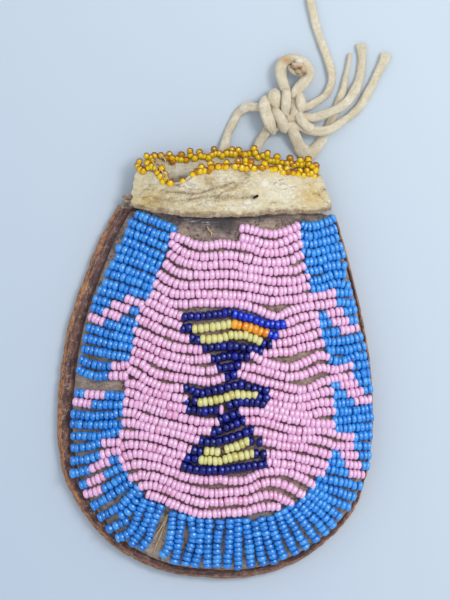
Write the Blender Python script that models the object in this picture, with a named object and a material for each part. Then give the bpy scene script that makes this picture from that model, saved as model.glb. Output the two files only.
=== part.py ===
"""Beaded strike-a-light pouch, lying on its back.

Metres. +Z points out of the beaded face, +Y towards the mouth and +X to the right of the face.
The pouch is worked out from its bottom edge upwards and is then centred on the origin.
A thick hide back carries a thinner, bulging hide front. A soft skin collar wraps the open mouth.
Rows of strung beads cover the front, a beaded edging runs along each lip of the collar, and thongs
leave from behind the back lip and are knotted together above the mouth.
"""
import math

import bmesh
import bpy
import numpy as np

# Back panel
POUCH_WIDTH = 0.0788
POUCH_LENGTH = 0.0931
BACK_THICKNESS = 0.0030
RIM_RISE = 0.0006
EDGE_ROUND = 0.0008

# Bare rim between the back panel's edge and the front panel's edge
RIM_LEFT = 0.0040
RIM_BOTTOM = 0.0023
RIM_RIGHT = 0.0010

# Front panel
FRONT_THICKNESS = 0.0013
BULGE_HEIGHT = 0.0080
BULGE_POWER = 2.2
BULGE_CENTRE = (0.0008, 0.0444)
BULGE_REACH = 0.0660

# Collar
COLLAR_THICKNESS = 0.0012
COLLAR_NARROWING = 0.0022
COLLAR_RIGHT_DROP = 0.0010
BACK_LIP_HEIGHT = 0.0126
FRONT_LIP_HEIGHT = 0.0083
FLAP_DEPTH = 0.0034
TUCK_DEPTH = 0.0045
CREASE_HEIGHT = 0.0004
STITCH_LENGTH = 0.0104
STITCH_WIDTH = 0.0014
STITCH_THICKNESS = 0.0008
STITCH_CENTRE_X = 0.0058
STITCH_ABOVE_FLAP = 0.0055

# Beadwork
BEAD_DIAMETER = 0.00195
BEAD_PITCH = 0.00115
ROW_PITCH = 0.00245
LANE_ROW_PITCH = 0.00234
EDGE_MARGIN = 0.0014
LANE_LEFT = 0.0110
LANE_BOTTOM = 0.0108
LANE_RIGHT = 0.0088
FIELD_DROP = 0.0053
FIELD_GAP = 0.0005
EDGING_DIAMETER = 0.0016
EDGING_REACH = 0.0009
EDGING_PITCH = 0.0034

# Thongs
THONG_DIAMETER = 0.0020
KNOT_CENTRE = (0.0170, 0.0109, 0.0028)
KNOT_RADIUS = 0.0055
KNOT_HALF_HEIGHT = 0.0026

# Clearance between pieces that touch on the real pouch
CLEARANCE = 0.0003

# Outline of the back panel as shares of its half width and its length, down the left side,
# round the bottom and up the right side
BACK_OUTLINE = (
    (-0.615, 1.000), (-0.730, 0.910), (-0.844, 0.788), (-0.927, 0.680), (-0.977, 0.562),
    (-1.000, 0.423), (-0.971, 0.297), (-0.860, 0.189), (-0.647, 0.087), (-0.368, 0.023),
    (-0.050, 0.000), (0.248, 0.004), (0.543, 0.048), (0.801, 0.136), (0.943, 0.243),
    (1.000, 0.404), (0.985, 0.570), (0.921, 0.726), (0.841, 0.860), (0.763, 0.973),
)
# Where along that outline the left lane of beads ends and the right lane begins
LEFT_LANE_END = 0.335
RIGHT_LANE_START = 0.690
# Each lip as shares of the way across and of the lip's full height
BACK_LIP = ((0.0, 0.74), (0.10, 0.93), (0.28, 0.98), (0.45, 1.00), (0.63, 0.99), (0.80, 0.86),
            (0.92, 0.80), (1.0, 0.68))
FRONT_LIP = ((0.0, 0.98), (0.08, 0.88), (0.16, 0.58), (0.25, 0.62), (0.34, 0.90), (0.52, 1.00),
             (0.68, 0.98), (0.84, 0.84), (1.0, 0.76))

# Thong routes from the pouch or the knot to their ends, in millimetres from the middle of the mouth
THONG_ROUTES = {
    "thong_left": ((1.5, -0.6, 2.0), (2.4, 2.2, 1.7), (3.0, 4.7, 1.2), (4.2, 7.4, 1.1),
                   (5.8, 10.2, 1.2), (8.0, 11.7, 1.8), (10.3, 11.7, 2.6), (11.2, 11.5, 2.8)),
    "thong_right": ((9.8, -0.6, 2.0), (10.9, 2.3, 1.7), (12.0, 4.3, 1.9), (12.9, 5.6, 2.5),
                    (13.4, 6.3, 2.8)),
    "tail_long": ((22.8, 11.8, 2.8), (25.0, 12.9, 2.2), (27.5, 14.7, 1.4), (29.0, 17.7, 1.1),
                  (29.0, 20.9, 1.1), (28.0, 24.4, 1.1), (26.3, 28.9, 1.1), (25.0, 33.4, 1.1),
                  (23.8, 38.7, 1.1), (22.8, 43.2, 1.1)),
    "tail_flared": ((21.3, 6.9, 2.8), (23.0, 6.1, 3.1), (25.3, 5.7, 3.4), (28.3, 6.0, 3.5),
                    (32.0, 8.4, 1.8), (35.7, 11.4, 1.1), (38.3, 15.4, 1.1), (41.0, 20.9, 1.1),
                    (43.0, 25.2, 1.1)),
    "tail_short": ((22.6, 9.1, 2.8), (24.5, 9.1, 3.1), (26.8, 9.7, 3.5), (29.5, 10.8, 3.6),
                   (32.0, 12.2, 3.2), (34.2, 14.8, 1.9), (36.0, 18.7, 1.1), (36.8, 23.4, 1.1),
                   (36.5, 27.7, 1.1)),
    "tail_looped": ((18.9, 5.4, 2.8), (20.0, 2.9, 1.8), (21.4, 1.1, 1.1), (23.5, 0.2, 1.1),
                    (25.7, 2.2, 1.1), (27.5, 5.2, 1.1), (29.0, 8.2, 1.1), (30.6, 11.9, 1.1),
                    (31.8, 15.4, 1.1), (32.8, 19.9, 1.1), (33.8, 25.4, 1.1)),
    "knot_ring": ((16.6, 16.9, 2.8), (16.0, 18.9, 2.6), (16.2, 21.3, 2.3), (17.4, 23.6, 2.0),
                  (19.4, 24.5, 1.9), (21.8, 23.7, 2.0), (23.2, 21.6, 2.3), (22.6, 19.2, 2.6),
                  (20.6, 15.9, 2.8)),
}

# Steps of the meshes
EDGE_STEPS = 240
PANEL_SECTORS = 44
PANEL_RINGS = 6
LANE_COLUMNS = 5
SIDE_COLUMNS = 4
FIGURE_COLUMNS = 9
COLLAR_STEPS = 15
COLLAR_LEVELS = 6
POINTS_PER_SPAN = 2

# The stepped pink stripes: the first of two pink columns in each row, counted from the outer end.
# The first stripe starts some rows down, the last one ends the lane and one lies halfway between.
STRIPE_STEPS = (3, 3, 2, 1, 0)
STRIPE_COLUMNS = 2
ROWS_ABOVE_STRIPES = 8
# The row of the left lane's middle stripe that was never sewn, or lost its beads
BARE_STRIPE_STEP = 2
# The figure: the share of the field's other rows above it, its middle, and its rows' widths in
# columns
SHARE_ABOVE_FIGURE = 0.64
FIGURE_CENTRE_X = 0.0030
FIGURE_WIDTHS = (9, 9, 9, 7, 3, 3, 1, 9, 9, 9, 1, 3, 7, 7, 9, 9)
# Rows of the figure with a filling: its name and the navy columns left at each side
FIGURE_FILLINGS = {1: ("upper", 1), 2: ("upper", 2), 8: ("middle", 1), 13: ("lower", 1),
                   14: ("lower", 2)}
# The first rows of the field start right of the bare patch under the collar
SHORT_TOP_ROWS = 2
SHORT_ROW_FIRST_COLUMN = 11

COLOURS = {
    "hide_brown": ((0.12, 0.055, 0.03), 0.75),
    "hide_grey": ((0.17, 0.13, 0.10), 0.85),
    "buckskin": ((0.62, 0.50, 0.32), 0.9),
    "bead_blue": ((0.05, 0.22, 0.66), 0.3),
    "bead_pink": ((0.80, 0.32, 0.52), 0.3),
    "bead_navy": ((0.006, 0.006, 0.09), 0.25),
    "bead_cobalt": ((0.01, 0.04, 0.40), 0.25),
    "bead_yellow": ((0.75, 0.65, 0.16), 0.3),
    "bead_orange": ((0.80, 0.26, 0.02), 0.3),
    "bead_amber": ((0.60, 0.28, 0.01), 0.15),
}


def clear_scene():
    for item in list(bpy.data.objects):
        bpy.data.objects.remove(item, do_unlink=True)


def material(name):
    """The Principled material of one finish, made once."""
    found = bpy.data.materials.get(name)
    if found:
        return found
    colour, roughness = COLOURS[name]
    made = bpy.data.materials.new(name)
    made.use_nodes = True
    shader = made.node_tree.nodes["Principled BSDF"]
    shader.inputs["Base Color"].default_value = (*colour, 1.0)
    shader.inputs["Roughness"].default_value = roughness
    shader.inputs["Metallic"].default_value = 0.0
    return made


def add_object(name, vertices, faces, finish, parent):
    """One closed body from vertices and faces, its faces turned outwards."""
    mesh = bpy.data.meshes.new(name)
    work = bmesh.new()
    corners = [work.verts.new(tuple(vertex)) for vertex in vertices]
    for face in faces:
        work.faces.new([corners[index] for index in face])
    bmesh.ops.recalc_face_normals(work, faces=work.faces)
    work.to_mesh(mesh)
    work.free()
    mesh.materials.append(material(finish))
    mesh.shade_smooth()
    mesh.set_sharp_from_angle(angle=math.radians(50))
    made = bpy.data.objects.new(name, mesh)
    bpy.context.scene.collection.objects.link(made)
    made.parent = parent
    return made


def smooth_path(route, per_span):
    """Points on a smooth curve through the route's own points."""
    points = np.array(route, dtype=float)
    padded = np.vstack([2 * points[0] - points[1], points, 2 * points[-1] - points[-2]])
    result = []
    for span in range(len(points) - 1):
        before, start, end, after = padded[span:span + 4]
        for step in range(per_span):
            t = step / per_span
            result.append(0.5 * (2 * start + (end - before) * t
                                 + (2 * before - 5 * start + 4 * end - after) * t ** 2
                                 + (3 * start - before - 3 * end + after) * t ** 3))
    result.append(points[-1])
    return np.array(result)


def resample(points, count):
    """The same curve with evenly spaced points."""
    run = np.concatenate([[0.0], np.cumsum(np.linalg.norm(np.diff(points, axis=0), axis=1))])
    places = np.linspace(0.0, run[-1], count)
    return np.stack([np.interp(places, run, points[:, axis]) for axis in range(2)], axis=1)


class Pouch:
    """The curves that the panels, the collar and the beadwork share."""

    def __init__(self):
        outline = np.array(BACK_OUTLINE) * (POUCH_WIDTH / 2, POUCH_LENGTH)
        self.edge = resample(smooth_path(outline, 8), EDGE_STEPS)
        along = np.gradient(self.edge, axis=0)
        along /= np.linalg.norm(along, axis=1)[:, None]
        self.inward = np.stack([-along[:, 1], along[:, 0]], axis=1)
        self.share = np.linspace(0.0, 1.0, EDGE_STEPS)
        self.front_edge = np.array([self.inside(share, 0.0) for share in self.share])
        self._set_reach()
        self._set_field_edge()

    def blend(self, share, left, bottom, right):
        """A width that passes smoothly from the left side's to the bottom's and the right's."""
        x = np.interp(share, self.share, self.inward[:, 0])
        y = np.interp(share, self.share, self.inward[:, 1])
        return left * max(x, 0.0) ** 2 + right * max(-x, 0.0) ** 2 + bottom * y ** 2

    def inside(self, share, inset):
        """The point a share along the edge and an inset inside the front panel's edge."""
        edge = np.array([np.interp(share, self.share, self.edge[:, axis]) for axis in range(2)])
        inward = np.array([np.interp(share, self.share, self.inward[:, axis]) for axis in range(2)])
        rim = self.blend(share, RIM_LEFT, RIM_BOTTOM, RIM_RIGHT)
        return edge + inward / np.linalg.norm(inward) * (rim + inset)

    def collar_sides(self, y):
        """Left and right edge of the collar at a height above the bottom."""
        share = max(0.0, y - POUCH_LENGTH) / BACK_LIP_HEIGHT
        left, right = self.front_edge[0][0], self.front_edge[-1][0]
        return left + COLLAR_NARROWING * share, right - 2 * COLLAR_NARROWING * share

    def _set_reach(self):
        """How far the bulge reaches from its centre in each direction."""
        lip = POUCH_LENGTH + BACK_LIP_HEIGHT
        top = POUCH_LENGTH + BULGE_REACH
        shoulder = (lip + top) / 2
        left_low, right_low = self.collar_sides(POUCH_LENGTH)
        left_high, right_high = self.collar_sides(lip)
        above = [(right_low, POUCH_LENGTH), (right_high, lip), (right_high * 0.8, shoulder),
                 (BULGE_CENTRE[0], top), (left_high * 0.8, shoulder), (left_high, lip),
                 (left_low, POUCH_LENGTH)]
        around = np.vstack([self.front_edge, above]) - BULGE_CENTRE
        angles = np.arctan2(around[:, 1], around[:, 0])
        order = np.argsort(angles)
        self.angles = angles[order]
        self.reaches = np.linalg.norm(around, axis=1)[order]

    def _set_field_edge(self):
        """The inner edge of the lanes, which the bead rows of the field run up to."""
        inner = []
        for share in self.share:
            width = self.blend(share, LANE_LEFT, LANE_BOTTOM, LANE_RIGHT)
            inner.append(self.inside(share, EDGE_MARGIN + width + FIELD_GAP))
        lowest = min(range(EDGE_STEPS), key=lambda index: inner[index][1])
        self.field_left = np.array(inner[:lowest + 1])[::-1]
        self.field_right = np.array(inner[lowest:])
        self.field_bottom = inner[lowest][1]

    def rise(self, x, y):
        """Height of the bulge above the seam."""
        away = np.array([x, y]) - BULGE_CENTRE
        angle = math.atan2(away[1], away[0])
        reach = np.interp(angle, self.angles, self.reaches, period=2 * math.pi)
        share = min(1.0, np.linalg.norm(away) / reach)
        return BULGE_HEIGHT * (1 - share ** BULGE_POWER)

    def front_inner(self, x, y):
        return BACK_THICKNESS + CLEARANCE + self.rise(x, y)

    def front_outer(self, x, y):
        return self.front_inner(x, y) + FRONT_THICKNESS

    def collar_inner(self, x, y):
        return self.front_outer(x, y) + CLEARANCE

    def field_sides(self, y):
        """Left and right end of the bead rows inside the lanes."""
        left, right = self.field_left, self.field_right
        return np.interp(y, left[:, 1], left[:, 0]), np.interp(y, right[:, 1], right[:, 0])


def inset_loop(loop, centre, distances):
    """A closed loop moved towards a centre, each point by its own distance."""
    result = []
    for point, distance in zip(loop, distances):
        away = np.array(centre) - point
        result.append(point + away / np.linalg.norm(away) * distance)
    return result


def make_back_panel(pouch, parent):
    """The thick hide back with its rounded, slightly raised rim."""
    side = resample(pouch.edge, PANEL_SECTORS)
    shares = np.linspace(0.0, 1.0, PANEL_SECTORS)
    top = [side[-1] + (side[0] - side[-1]) * step / 6 for step in range(1, 6)]
    loop = list(side) + top
    rims = [pouch.blend(share, RIM_LEFT, RIM_BOTTOM, RIM_RIGHT) for share in shares]
    rims = rims + [RIM_RIGHT] * len(top)
    raised = [RIM_RISE] * (PANEL_SECTORS - 1) + [0.0] * (len(top) + 1)
    raised[0] = 0.0
    edge_round = [min(EDGE_ROUND, 0.4 * rim) for rim in rims]
    layers = [
        (edge_round, [0.0] * len(loop)),
        ([0.0] * len(loop), [EDGE_ROUND] * len(loop)),
        ([0.0] * len(loop), [BACK_THICKNESS - EDGE_ROUND] * len(loop)),
        ([0.4 * rim for rim in rims], [BACK_THICKNESS + rise for rise in raised]),
        ([0.85 * rim for rim in rims], [BACK_THICKNESS] * len(loop)),
    ]
    vertices = []
    for distances, heights in layers:
        ring = inset_loop(loop, BULGE_CENTRE, distances)
        vertices += [(point[0], point[1], height) for point, height in zip(ring, heights)]
    count = len(loop)
    faces = [list(range(count)), list(range(count * (len(layers) - 1), count * len(layers)))]
    for layer in range(len(layers) - 1):
        low = layer * count
        for index in range(count):
            after = (index + 1) % count
            faces.append([low + index, low + after, low + count + after, low + count + index])
    return add_object("back_panel", vertices, faces, "hide_brown", parent)


def make_front_panel(pouch, parent):
    """The thin hide front: a bulging sheet, open to the mouth along its top edge."""
    side = resample(pouch.front_edge, PANEL_SECTORS)
    crown = POUCH_LENGTH - 2 * CLEARANCE
    arch = smooth_path([side[-1], (side[-1][0] * 0.6, crown), (0.0, crown),
                        (side[0][0] * 0.6, crown), side[0]], 3)[1:-1]
    loop = np.vstack([side, arch])
    centre = np.array(BULGE_CENTRE)
    vertices, rings = [], []
    for lift in (FRONT_THICKNESS, 0.0):
        x, y = centre
        rings.append([len(vertices)])
        vertices.append((x, y, pouch.front_inner(x, y) + lift))
        for ring in range(1, PANEL_RINGS + 1):
            first = len(vertices)
            for point in loop:
                x, y = centre + (point - centre) * ring / PANEL_RINGS
                vertices.append((x, y, pouch.front_inner(x, y) + lift))
            rings.append(list(range(first, len(vertices))))
    count = len(loop)
    faces = []
    for sheet in range(2):
        base = sheet * (PANEL_RINGS + 1)
        pole = rings[base][0]
        for index in range(count):
            after = (index + 1) % count
            faces.append([pole, rings[base + 1][index], rings[base + 1][after]])
            for ring in range(1, PANEL_RINGS):
                inner, outer = rings[base + ring], rings[base + ring + 1]
                faces.append([inner[index], outer[index], outer[after], inner[after]])
    outer_edge, inner_edge = rings[PANEL_RINGS], rings[2 * PANEL_RINGS + 1]
    for index in range(count):
        after = (index + 1) % count
        faces.append([outer_edge[index], outer_edge[after], inner_edge[after], inner_edge[index]])
    return add_object("front_panel", vertices, faces, "hide_grey", parent)


def lip_height(lip, full, across):
    """Height of a lip above the pouch's top edge at a share of the way across."""
    points = np.array(lip)
    return full * np.interp(across, points[:, 0], points[:, 1])


def collar_low_edge(across, front):
    """Lower edge of the collar: over the front panel, or tucked inside the back panel."""
    side = POUCH_LENGTH - COLLAR_RIGHT_DROP * across
    if front:
        return side - FLAP_DEPTH * math.sin(math.pi * across) ** 0.8
    middle = max(0.0, 1 - ((across - 0.5) / 0.36) ** 2)
    return side - TUCK_DEPTH * middle


def make_collar(pouch, parent):
    """The soft skin sleeve round the mouth, its front lip lower than its back lip."""
    stations = []
    for index in range(COLLAR_STEPS):
        stations.append((0.5 - 0.5 * math.cos(math.pi * index / COLLAR_STEPS), True))
    for index in range(COLLAR_STEPS):
        stations.append((0.5 + 0.5 * math.cos(math.pi * index / COLLAR_STEPS), False))
    vertices = []
    for level in range(COLLAR_LEVELS + 1):
        for inner in (False, True):
            for across, front in stations:
                lip = (FRONT_LIP, FRONT_LIP_HEIGHT) if front else (BACK_LIP, BACK_LIP_HEIGHT)
                low = collar_low_edge(across, front)
                high = POUCH_LENGTH + lip_height(*lip, across)
                if across in (0.0, 1.0):
                    front_high = POUCH_LENGTH + lip_height(FRONT_LIP, FRONT_LIP_HEIGHT, across)
                    back_high = POUCH_LENGTH + lip_height(BACK_LIP, BACK_LIP_HEIGHT, across)
                    high = (front_high + back_high) / 2
                y = low + (high - low) * level / COLLAR_LEVELS
                left, right = pouch.collar_sides(y)
                wall = COLLAR_THICKNESS if inner else 0.0
                x = left + wall + (right - left - 2 * wall) * across
                outside = BACK_THICKNESS + CLEARANCE
                if front:
                    z = pouch.collar_inner(x, y) + (0.0 if inner else COLLAR_THICKNESS)
                    fold = math.sin(2 * math.pi * level / 3 + 3 * across) ** 2
                    z += CREASE_HEIGHT * fold * math.sin(math.pi * across)
                else:
                    z = outside + wall
                if across in (0.0, 1.0):
                    z = (pouch.collar_inner(x, y) + outside + COLLAR_THICKNESS) / 2
                vertices.append((x, y, z))
    count = len(stations)
    faces = []
    for level in range(COLLAR_LEVELS):
        for skin in range(2):
            low = (2 * level + skin) * count
            high = low + 2 * count
            for index in range(count):
                after = (index + 1) % count
                faces.append([low + index, low + after, high + after, high + index])
    for low in (0, 2 * COLLAR_LEVELS * count):
        for index in range(count):
            after = (index + 1) % count
            faces.append([low + index, low + after, low + count + after, low + count + index])
    return add_object("collar", vertices, faces, "buckskin", parent)


def make_tube(name, points, diameter, resolution, finish, parent):
    """A round tube with filled ends along a chain of points."""
    curve = bpy.data.curves.new(name, "CURVE")
    curve.dimensions = "3D"
    curve.bevel_depth = diameter / 2
    curve.bevel_resolution = resolution
    curve.use_fill_caps = True
    line = curve.splines.new("POLY")
    line.points.add(len(points) - 1)
    for place, point in zip(line.points, points):
        place.co = (*point, 1.0)
    line.use_smooth = True
    curve.materials.append(material(finish))
    made = bpy.data.objects.new(name, curve)
    bpy.context.scene.collection.objects.link(made)
    made.parent = parent
    return made


def make_edging(pouch, name, lip, full, front, parent):
    """The beaded edging along one lip: a string that rises and falls with each bead."""
    left, right = pouch.collar_sides(POUCH_LENGTH + full)
    inset = COLLAR_THICKNESS + EDGING_DIAMETER
    count = 2 * round((right - left - 2 * inset) / EDGING_PITCH)
    points = []
    for index in range(count + 1):
        across = (inset + (right - left - 2 * inset) * index / count) / (right - left)
        x = left + (right - left) * across
        lip_y = POUCH_LENGTH + lip_height(lip, full, across)
        y = lip_y + CLEARANCE + EDGING_DIAMETER / 2 + EDGING_REACH * (index % 2)
        if front:
            z = pouch.collar_inner(x, lip_y) + COLLAR_THICKNESS / 2
        else:
            z = BACK_THICKNESS + CLEARANCE + COLLAR_THICKNESS / 2
        points.append((x, y, z))
    return make_tube(name, points, EDGING_DIAMETER, 1, "bead_amber", parent)


def make_stitch(pouch, parent):
    """The thong stitch that shows on the front of the collar."""
    steps = 6
    vertices = []
    for index in range(steps + 1):
        x = STITCH_CENTRE_X + STITCH_LENGTH * (index / steps - 0.5)
        y = POUCH_LENGTH - FLAP_DEPTH + STITCH_ABOVE_FLAP
        floor = COLLAR_THICKNESS + CREASE_HEIGHT + CLEARANCE
        for side in (-0.5, 0.5):
            edge = y + side * STITCH_WIDTH
            for lift in (0.0, STITCH_THICKNESS):
                vertices.append((x, edge, pouch.collar_inner(x, y) + floor + lift))
    faces = [[0, 1, 3, 2], [4 * steps, 4 * steps + 2, 4 * steps + 3, 4 * steps + 1]]
    for index in range(steps):
        low = 4 * index
        for a, b in ((0, 1), (1, 3), (3, 2), (2, 0)):
            faces.append([low + a, low + b, low + 4 + b, low + 4 + a])
    return add_object("collar_stitch", vertices, faces, "buckskin", parent)


def split_regions(cells):
    """Cells of one colour as groups that join side by side."""
    left = set(cells)
    groups = []
    while left:
        group, queue = set(), [min(left)]
        while queue:
            cell = queue.pop()
            if cell not in left:
                continue
            left.remove(cell)
            group.add(cell)
            row, column = cell
            queue += [(row + 1, column), (row - 1, column), (row, column + 1), (row, column - 1)]
        groups.append(group)
    return groups


def make_patch(name, cells, place, finish, pouch, parent):
    """Strung rows of beads that lie side by side, as one ribbed body on the front panel.

    Each cell is a stretch of one row. place gives the point at a row and column, both fractions.
    """
    halves = {(2 * row + half, column) for row, column in cells for half in (0, 1)}
    inset = CLEARANCE / 2
    numbers, vertices = {}, []

    def corner(line, column, top):
        key = (line, column, top)
        if key in numbers:
            return numbers[key]
        around = [(a, b) for a in (0, 1) for b in (0, 1) if (line - 1 + a, column - 1 + b) in halves]
        down = sum(1 if a else -1 for a, _ in around)
        over = sum(1 if b else -1 for _, b in around)
        here = np.array(place(line / 2, column))
        if down or over:
            step_down = np.array(place(line / 2 + 0.5, column)) - place(line / 2 - 0.5, column)
            step_over = np.array(place(line / 2, column + 0.5)) - place(line / 2, column - 0.5)
            here = here + np.sign(down) * inset * step_down / np.linalg.norm(step_down)
            here = here + np.sign(over) * inset * step_over / np.linalg.norm(step_over)
        x, y = here
        z = pouch.front_outer(x, y) + CLEARANCE
        if top:
            z += BEAD_DIAMETER if line % 2 else BEAD_DIAMETER / 2
        numbers[key] = len(vertices)
        vertices.append((x, y, z))
        return numbers[key]

    faces = []
    for line, column in sorted(halves):
        ring = [(line, column), (line, column + 1), (line + 1, column + 1), (line + 1, column)]
        faces.append([corner(a, b, True) for a, b in ring])
        faces.append([corner(a, b, False) for a, b in reversed(ring)])
        beside = [(line - 1, column), (line, column + 1), (line + 1, column), (line, column - 1)]
        for index, neighbour in enumerate(beside):
            if neighbour not in halves:
                a, b = ring[index], ring[(index + 1) % 4]
                faces.append([corner(*a, True), corner(*a, False), corner(*b, False), corner(*b, True)])
    return add_object(name, vertices, faces, finish, parent)


def stripe_starts(rows):
    """First row of each stepped stripe in a lane of so many rows."""
    last = rows - len(STRIPE_STEPS)
    return ROWS_ABOVE_STRIPES, (ROWS_ABOVE_STRIPES + last) // 2, last


def stripe_cells(first_rows):
    """Cells of the stepped stripes in one lane."""
    cells = set()
    for first in first_rows:
        for step, column in enumerate(STRIPE_STEPS):
            cells |= {(first + step, column + extra) for extra in range(STRIPE_COLUMNS)}
    return cells


def make_lane(pouch, name, start, end, striped, bare, parent):
    """One lane of the border: rows that run square to the edge, with its stepped stripes."""
    def place(row, column, rows):
        share = start + (end - start) * row / rows
        width = pouch.blend(share, LANE_LEFT, LANE_BOTTOM, LANE_RIGHT)
        return pouch.inside(share, EDGE_MARGIN + width * column / LANE_COLUMNS)

    middle = np.array([place(step, LANE_COLUMNS / 2, 20) for step in range(21)])
    length = np.linalg.norm(np.diff(middle, axis=0), axis=1).sum()
    rows = round(length / LANE_ROW_PITCH)
    starts = stripe_starts(rows) if striped else ()
    bare_rows = (starts[1] + BARE_STRIPE_STEP,) if bare else ()
    everything = {(row, column) for row in range(rows) for column in range(LANE_COLUMNS)
                  if row not in bare_rows}
    stripes = stripe_cells(starts) & everything
    for colour, cells in (("blue", everything - stripes), ("pink", stripes)):
        for number, group in enumerate(split_regions(cells), start=1):
            make_patch(f"{name}_{colour}_{number}", group,
                       lambda row, column: place(row, column, rows),
                       f"bead_{colour}", pouch, parent)


def figure_colours():
    """Colour of each cell of the figure, by row and column from its own corner."""
    colours = {}
    for row, width in enumerate(FIGURE_WIDTHS):
        first = (FIGURE_COLUMNS - width) // 2
        for column in range(first, first + width):
            colours[(row, column)] = "navy"
        if row in FIGURE_FILLINGS:
            part, border = FIGURE_FILLINGS[row]
            for column in range(first + border, first + width - border):
                colours[(row, column)] = f"yellow_{part}"
    middle = FIGURE_COLUMNS // 2
    for column in range(middle + 1, FIGURE_COLUMNS):
        colours[(0, column)] = "cobalt"
        colours[(1, column)] = "orange"
    colours[(1, FIGURE_COLUMNS - 1)] = "cobalt"
    return colours


def make_field(pouch, parent):
    """The pink field inside the lanes and the hourglass figure set in it."""
    top = POUCH_LENGTH - FIELD_DROP
    rows = round((top - pouch.field_bottom) / ROW_PITCH)
    pitch = (top - pouch.field_bottom) / rows
    figure_first_row = round((rows - len(FIGURE_WIDTHS)) * SHARE_ABOVE_FIGURE)
    columns = 2 * SIDE_COLUMNS + FIGURE_COLUMNS
    column_width = 2 * BEAD_PITCH
    figure_left = FIGURE_CENTRE_X - FIGURE_COLUMNS * column_width / 2
    figure_right = figure_left + FIGURE_COLUMNS * column_width

    def place(row, column):
        y = top - pitch * row
        left, right = pouch.field_sides(y)
        stops = [left, figure_left, figure_right, right]
        marks = [0, SIDE_COLUMNS, SIDE_COLUMNS + FIGURE_COLUMNS, columns]
        if column < 0:
            return left + column * column_width, y
        if column > columns:
            return right + (column - columns) * column_width, y
        return np.interp(column, marks, stops), y

    figure = {(row + figure_first_row, column + SIDE_COLUMNS): colour
              for (row, column), colour in figure_colours().items()}
    middle = SIDE_COLUMNS + FIGURE_COLUMNS // 2
    groups = {}
    for row in range(rows):
        for column in range(columns):
            if row < SHORT_TOP_ROWS and column < SHORT_ROW_FIRST_COLUMN:
                continue
            if (row, column) in figure:
                part = figure[(row, column)]
                groups.setdefault(f"figure_{part}", set()).add((row, column))
            elif row < figure_first_row:
                groups.setdefault("field_upper", set()).add((row, column))
            elif row >= figure_first_row + len(FIGURE_WIDTHS):
                groups.setdefault("field_lower", set()).add((row, column))
            elif column < middle:
                groups.setdefault("field_left", set()).add((row, column))
            else:
                groups.setdefault("field_right", set()).add((row, column))
    for name, cells in groups.items():
        colour = name.split("_")[1] if name.startswith("figure") else "pink"
        for number, group in enumerate(split_regions(cells), start=1):
            label = name if number == 1 else f"{name}_{number}"
            make_patch(label, group, place, f"bead_{colour}", pouch, parent)


def make_knot(parent):
    """The closed lump of the knot that the thongs lead into."""
    mesh = bpy.data.meshes.new("knot")
    work = bmesh.new()
    bmesh.ops.create_uvsphere(work, u_segments=20, v_segments=10, radius=1.0)
    for vertex in work.verts:
        x, y, z = vertex.co
        vertex.co = (x * KNOT_RADIUS, y * KNOT_RADIUS, z * KNOT_HALF_HEIGHT)
    work.to_mesh(mesh)
    work.free()
    mesh.materials.append(material("buckskin"))
    mesh.shade_smooth()
    made = bpy.data.objects.new("knot", mesh)
    bpy.context.scene.collection.objects.link(made)
    made.location = KNOT_CENTRE
    made.parent = parent
    return made


def make_thongs(parent):
    for name, route in THONG_ROUTES.items():
        points = smooth_path(np.array(route) / 1000, POINTS_PER_SPAN)
        make_tube(name, points, THONG_DIAMETER, 2, "buckskin", parent)


def centre_pouch(origin, pouch_objects):
    """Move the pouch so that the middle of its footprint is at the world's origin."""
    bpy.context.view_layer.update()
    graph = bpy.context.evaluated_depsgraph_get()
    corners = []
    for item in pouch_objects:
        found = item.evaluated_get(graph)
        corners += [found.matrix_world @ vertex.co for vertex in found.to_mesh().vertices]
        found.to_mesh_clear()
    x = [corner.x for corner in corners]
    y = [corner.y for corner in corners]
    origin.location = (-(min(x) + max(x)) / 2, -(min(y) + max(y)) / 2, 0.0)


def main():
    clear_scene()
    origin = bpy.data.objects.new("pouch_origin", None)
    bpy.context.scene.collection.objects.link(origin)
    pouch = Pouch()
    make_back_panel(pouch, origin)
    make_front_panel(pouch, origin)
    make_collar(pouch, origin)
    make_edging(pouch, "edging_front", FRONT_LIP, FRONT_LIP_HEIGHT, True, origin)
    make_edging(pouch, "edging_back", BACK_LIP, BACK_LIP_HEIGHT, False, origin)
    make_stitch(pouch, origin)
    make_lane(pouch, "lane_left", 0.0, LEFT_LANE_END, True, True, origin)
    make_lane(pouch, "lane_bottom", LEFT_LANE_END, RIGHT_LANE_START, False, False, origin)
    make_lane(pouch, "lane_right", 1.0, RIGHT_LANE_START, True, False, origin)
    make_field(pouch, origin)
    centre_pouch(origin, [item for item in bpy.data.objects if item.type != "EMPTY"])
    mouth = bpy.data.objects.new("mouth", None)
    bpy.context.scene.collection.objects.link(mouth)
    mouth.location = (0.0, POUCH_LENGTH + BACK_LIP_HEIGHT, 0.0)
    mouth.parent = origin
    make_knot(mouth)
    make_thongs(mouth)


main()
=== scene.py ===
"""Beaded strike-a-light pouch: the finished look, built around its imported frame.

The pouch lies on its back. +Z points out of the beaded face, +Y towards the mouth.
Everything is in metres. The drawings below are measured from the photograph in pixels
and are laid on the pouch at a quarter of a millimetre to the pixel.
"""

import logging
import math
import re
from dataclasses import dataclass, field
from enum import Enum
from functools import cache
from typing import Iterable, Sequence

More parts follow.
